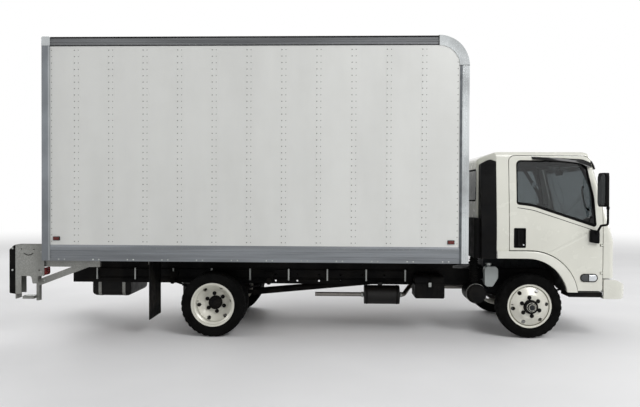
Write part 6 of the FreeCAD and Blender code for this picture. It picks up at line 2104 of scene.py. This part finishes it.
@dataclass
class StepTrim:
    """Pressings, bolts, grip, lamps and plate of the rear step."""

    plate_y: float = -1.149
    brace_y: float = -1.093
    plate_bolts: tuple[tuple[float, float], ...] = ((-3.640, 1.060), (-3.640, 0.800), (-3.290, 1.020),
        (-3.290, 0.780))
    brace_bolts: tuple[tuple[float, float], ...] = ((-2.800, 0.850), (-3.276, 0.672))

    def build(self) -> None:
        """Makes and dresses the pressings, bolts, grip, lamps and plate."""
        y = self.plate_y
        panel = Work.slab("step_panel", oblong(-3.540, 0.772, -3.362, 0.968, 0.012), along(y + 0.001),
            (0, -0.0055, 0), 0.002)
        both(panel, ZINC, BASE)
        for k, (x, z) in enumerate(self.plate_bolts):
            bolt = hexagon("bolt", (x, y, z), (x, y - 0.009, z), 0.020)
            both(bolt, ZINC_BOLT, BASE, stem=f"step_bolt_{k}")
        for k, (x, z) in enumerate(self.brace_bolts):
            bolt = hexagon("bolt", (x, self.brace_y, z), (x, self.brace_y - 0.012, z), 0.024)
            both(bolt, ZINC_BOLT, BASE, stem=f"brace_bolt_{k}")
        channel = Work.cube("brace_channel", (-3.250, -1.119, 0.846), (-2.592, -1.110, 0.915), 0.002)
        channel.pick(lambda p, n: n.y < -0.9).inset(0.012, 0.003)
        both(channel, ZINC, BASE)
        slot = Work.slab("tread_grip", [(-3.508, 0.4895, 0.004), (-3.508, 0.4945, 0.002),
                (-3.492, 0.4945, 0.002), (-3.492, 0.4895, 0.004)], along(-1.150), (0, 0.112, 0), 0.001)
        both(slot.row(6, (0.022, 0, 0)), ZINC_BOLT, BASE)
        lens = Work.slab("tail_lens", [(-1.112, 0.745, 0.020), (-1.112, 0.813, 0.020), (-1.025, 0.813, 0.004),
                (-1.025, 0.745, 0.004)], across(-3.3225), (-0.007, 0, 0), 0.003)
        both(lens, RED_LENS, BASE)
        lens = Work.slab("turn_lens", [(-1.018, 0.745, 0.004), (-1.018, 0.813, 0.004), (-0.963, 0.813, 0.020),
                (-0.963, 0.745, 0.020)], across(-3.3225), (-0.007, 0, 0), 0.003)
        both(lens, AMBER_LENS, BASE)
        bolt = hexagon("bolt", (-3.676, -1.095, 0.62), (-3.6779, -1.095, 0.62), 0.026)
        both(bolt.row(3, (0, 0, 0.19)), ZINC_BOLT, BASE, stem="dock_bolts")
        plate = Work.slab("blank_plate", oblong(-0.160, 0.930, 0.160, 1.010, 0.010), across(-3.2525),
            (-0.0035, 0, 0), 0.001)
        plate.pick(lambda p, n: n.x < -0.9).inset(0.005, -0.001)
        plate.dress(CAB_WHITE, BASE)


# Van body


@dataclass
class VanSides:
    """Lapped sheets, rivets, rails' fasteners and marker lamps of the van body's sides."""

    wall: float = 1.211
    rail: float = 1.219
    foot: float = 1.112
    head: float = 3.449
    first_seam: float = REAR_AXLE - 1.604
    seam_pitch: float = 0.408
    seams: int = 11
    rivet_pitch: float = 0.075
    lap: float = 0.047
    rivet_radius: float = 0.0072

    def laps(self) -> None:
        """Lays the raised lap of each sheet over the next."""
        x = self.first_seam
        strip = Work.cube("lap_strips", (x - 0.012, -self.wall - 0.0016, self.foot + 0.002), (
                x + self.lap + 0.013, -self.wall + 0.002, self.head - 0.001), 0.0006, 1)
        strip.row(self.seams, (self.seam_pitch, 0, 0))
        both(strip, BODY_WHITE, BASE)

    def rivets(self) -> None:
        """Sets the rivets of the laps, the wall ends and the rails."""
        y = -self.wall - 0.0016
        count = int((self.head - self.foot - 0.06) / self.rivet_pitch) + 1
        up = (count, (0, 0, self.rivet_pitch))
        for stem, x, radius in (("main_rivets", self.first_seam, self.rivet_radius), ("lap_rivets",
                    self.first_seam + self.lap, self.rivet_radius * 0.8)):
            grid = rivet_grid(stem, (x, y, self.foot + 0.04), (0, -1, 0), radius, up,
                (self.seams, (self.seam_pitch, 0, 0)))
            both(grid, RIVET, BASE, 60)
        ends = rivet_grid("end_rivets", (-3.137, -self.wall, self.foot + 0.04), (0, -1, 0), 0.006, up,
            (2, (4.763, 0, 0)))
        both(ends, RIVET, BASE, 60)
        low = rivet_grid("rail_rivets", (-3.10, -self.rail + 0.001, self.foot - 0.034), (0, -1, 0), 0.0055,
            (63, (0.076, 0, 0)))
        both(low, RIVET, BASE, 60)
        bolts = rivet_grid("sill_bolts", (-3.05, -self.rail, 0.940), (0, -1, 0), 0.009, (12, (0.41, 0, 0)),
            (2, (0.07, 0, 0)))
        both(bolts, ZINC_BOLT, BASE, 60)
        high = rivet_grid("top_rivets", (-3.10, -self.rail + 0.005, self.head + 0.012), (0, -1, 0), 0.0055,
            (59, (0.0762, 0, 0)))
        both(high, RIVET, BASE, 60)

    def lamp(self, stem: str, x: float, z: float, finish: Finish) -> None:
        """Makes one pair of side marker lamps.

        Args:
            stem: Name without its side.
            x: Place along the truck.
            z: Height.
            finish: The lens's finish.
        """
        y = -self.wall
        base = Work.slab(stem + "_base", oblong(x - 0.041, z - 0.023, x + 0.041, z + 0.023, 0.006),
            along(y + 0.001), (0, -0.009, 0), 0.002)
        lens = Work.slab(stem + "_lens", oblong(x - 0.035, z - 0.018, x + 0.035, z + 0.018, 0.005),
            along(y - 0.007), (0, -0.013, 0), 0.004)
        both(base, BLACK_PLASTIC, BASE)
        both(lens, finish, BASE)

    def build(self) -> None:
        """Makes and dresses all of it."""
        self.laps()
        self.rivets()
        self.lamp("rear_marker", REAR_AXLE - 1.820, 1.186, MARKER_LENS)
        self.lamp("front_marker", FRONT_AXLE - 0.996, 1.169, MARKER_LENS)
        for i, x in enumerate((1.679, 1.701, 1.723)):
            bead = Work.rod(f"post_bead_{i}", (x, -self.rail + 0.001, 0.93), (x, -self.rail + 0.001, 3.214),
                0.0042, sides=10)
            both(bead, POLISHED, BASE, 60)
        # Dark bands of painted shade in the joint under the post's head and at the top rail's end.
        joint = Work.cube("post_head_joint_shade", (1.641, -self.rail - 0.0012, 3.212),
            (1.7585, -self.rail + 0.004, 3.219), 0.0008, 1)
        both(joint, SEAM_SHADOW, BASE)
        line = Work.cube("rail_end_shade", (1.398, -self.rail - 0.0008, 3.450), (1.410, -self.rail + 0.004, 3.563),
            0.0008, 1)
        both(line, SEAM_SHADOW, BASE)
        bands = Work.cube("top_bands", (-3.15, -self.rail - 0.0005, 3.543), (1.398, -self.rail + 0.004, 3.5575),
            0.001, 1)
        low_band = Work.cube("low_band", (-3.15, -self.rail - 0.0005, 3.452),
            (1.398, -self.rail + 0.004, 3.459), 0.001, 1)
        both(bands.join(low_band), BLACK_PLASTIC, BASE)


@dataclass
class VanEnds:
    """Roof, nose and rear frame fittings of the van body."""

    rear: float = -3.253
    door: float = -3.208
    front: float = VAN_FRONT
    top: float = 3.565

    def roof(self) -> None:
        """Adds the roof's cross seams and edge rivets."""
        seam = Work.cube("roof_seams", (-2.6, -1.125, self.top - 0.0048), (-2.575, 1.125, self.top - 0.0024),
            0.0008, 1)
        seam.row(7, (0.61, 0, 0)).dress(BODY_WHITE, BASE)
        rivets = rivet_grid("roof_rivets", (-3.12, -1.131, self.top - 0.0045), (0, 0, 1), 0.0055,
            (60, (0.0762, 0, 0)), (2, (0, 2.262, 0)))
        rivets.dress(RIVET, BASE, 60)

    def nose(self) -> None:
        """Adds the front wall's laps, rivets and clearance lamps."""
        face = self.front - 0.004
        lap = Work.cube("nose_laps", (face - 0.002, -0.595, 0.925), (face + 0.0014, -0.545, 3.200), 0.0006, 1)
        lap.row(3, (0, 0.57, 0)).dress(BODY_WHITE, BASE)
        rivets = rivet_grid("nose_rivets", (face + 0.0014, -0.585, 0.95), (1, 0, 0), 0.006, (30, (0, 0, 0.075)),
            (3, (0, 0.57, 0)))
        rivets.dress(RIVET, BASE, 60)
        edge = rivet_grid("nose_edge_rivets", (face, -1.120, 0.95), (1, 0, 0), 0.006, (30, (0, 0, 0.075)),
            (2, (0, 2.24, 0)))
        edge.dress(RIVET, BASE, 60)
        for i, y in enumerate((-1.02, -0.16, 0.0, 0.16, 1.02)):
            self.pea_lamp(f"nose_lamp_{i}", (face - 0.003, y, 3.12), 1, AMBER_LENS)

    def pea_lamp(self, name: str, place: Point, way: int, finish: Finish) -> None:
        """Makes one small clearance lamp.

        Args:
            name: Piece name.
            place: Centre of its foot.
            way: Direction along the truck that it faces.
            finish: The lens's finish.
        """
        x, y, z = place
        outline = oblong(y - 0.05, z - 0.019, y + 0.05, z + 0.019, 0.008)
        Work.slab(name + "_base", outline, across(x), (way * 0.010, 0, 0), 0.002).dress(BLACK_PLASTIC, BASE)
        small = oblong(y - 0.043, z - 0.013, y + 0.043, z + 0.013, 0.006)
        Work.slab(name + "_lens", small, across(x + way * 0.008), (way * 0.013, 0, 0),
            0.005).dress(finish, BASE)

    def rear_frame(self) -> None:
        """Adds the rear frame's lamps, corner caps and bright edges."""
        for i, y in enumerate((-0.16, 0.0, 0.16)):
            self.pea_lamp(f"rear_lamp_{i}", (self.rear + 0.001, y, 3.47), -1, RED_LENS)
        cap = Work.slab("corner_cap", [(self.rear - 0.0015, 3.455, 0.004), (self.rear - 0.0015, 3.563, 0.02),
                (self.rear + 0.103, 3.563, 0.02), (self.rear + 0.103, 3.455, 0.004)], along(-1.2195),
            (0, -0.0035, 0), 0.0015)
        both(cap, POLISHED, BASE)
        strip = Work.cube("post_edge", (self.rear + 0.078, -1.2215, 0.93), (self.rear + 0.099, -1.218, 3.455),
            0.001)
        both(strip, POST_EDGE, BASE)
        bolts = rivet_grid("rear_post_bolts", (self.rear, -1.198, 1.0), (-1, 0, 0), 0.007, (17, (0, 0, 0.15)))
        both(bolts, ZINC_BOLT, BASE, 60)

    def door_gear(self) -> None:
        """Adds the roll-up door's seals, latch, lift handle and hinge rivets."""
        x = self.door
        low, high, panels = 1.0573, 3.3947, 9
        pitch = (high - low) / panels
        for k, y in enumerate((-1.0, -0.5, 0.0, 0.5, 1.0)):
            grid = rivet_grid(f"hinge_rivets_{k}", (x, y - 0.02, low + pitch - 0.03), (-1, 0, 0), 0.005,
                (2, (0, 0.04, 0)), (panels - 1, (0, 0, pitch)))
            upper = rivet_grid(f"hinge_rivets_high_{k}", (x, y - 0.02, low + pitch + 0.03), (-1, 0, 0), 0.005,
                (2, (0, 0.04, 0)), (panels - 1, (0, 0, pitch)))
            grid.join(upper).dress(RIVET, BASE, 60)
        plate = Work.slab("latch_plate", oblong(-0.07, 1.10, 0.07, 1.28, 0.01), across(x + 0.001),
            (-0.005, 0, 0), 0.001)
        plate.dress(ZINC, BASE)
        Work.rod("latch_pivot", (x - 0.003, 0.02, 1.235), (x - 0.022, 0.02, 1.235), 0.017, sides=20,
            edge=0.002).dress(ZINC_BOLT, BASE)
        lever = Work.slab("latch_lever", [(0.008, 1.24, 0.008), (0.032, 1.24, 0.008), (0.024, 1.075, 0.006),
                (0.010, 1.075, 0.006)], across(x - 0.016), (-0.008, 0, 0), 0.002)
        lever.dress(ZINC, BASE)
        keeper = Work.tube("latch_keeper", [(x - 0.004, -0.012, 1.086), (x - 0.030, -0.012, 1.086),
                (x - 0.030, 0.005, 1.086), (x - 0.030, 0.045, 1.086), (x - 0.004, 0.045, 1.086)], 0.004)
        keeper.dress(ZINC_BOLT, BASE)
        bar = Work.tube("lift_handle", [(x + 0.002, -0.42, 1.15), (x - 0.028, -0.42, 1.15),
                (x - 0.034, -0.40, 1.15), (x - 0.034, -0.30, 1.15), (x - 0.028, -0.28, 1.15),
                (x + 0.002, -0.28, 1.15)], 0.0065)
        bar.dress(ZINC, BASE)
        seal = Work.cube("door_foot_seal", (x - 0.004, -1.127, 1.0575), (x + 0.02, 1.127, 1.078), 0.003)
        seal.dress(BLACK_RUBBER, BASE)
        trim = Work.cube("door_side_seal", (x - 0.014, -1.129, 1.06), (x - 0.001, -1.112, 3.374), 0.003)
        both(trim, BLACK_RUBBER, BASE)

    def build(self) -> None:
        """Makes and dresses all of it."""
        self.roof()
        self.nose()
        self.rear_frame()
        self.door_gear()


def main() -> None:
    """Builds the studio, the finishes and every sub-assembly in order."""
    for part in (Studio(), Livery(), Tyres(), WheelFittings(), DoorTrim(), CabFront(), Seats(), Cockpit(),
            Underbody(), StepTrim(), VanSides(), VanEnds()):
        LOG.info("building %s", type(part).__name__)
        part.build()
    set_down()


if __name__ == "__main__":
    main()
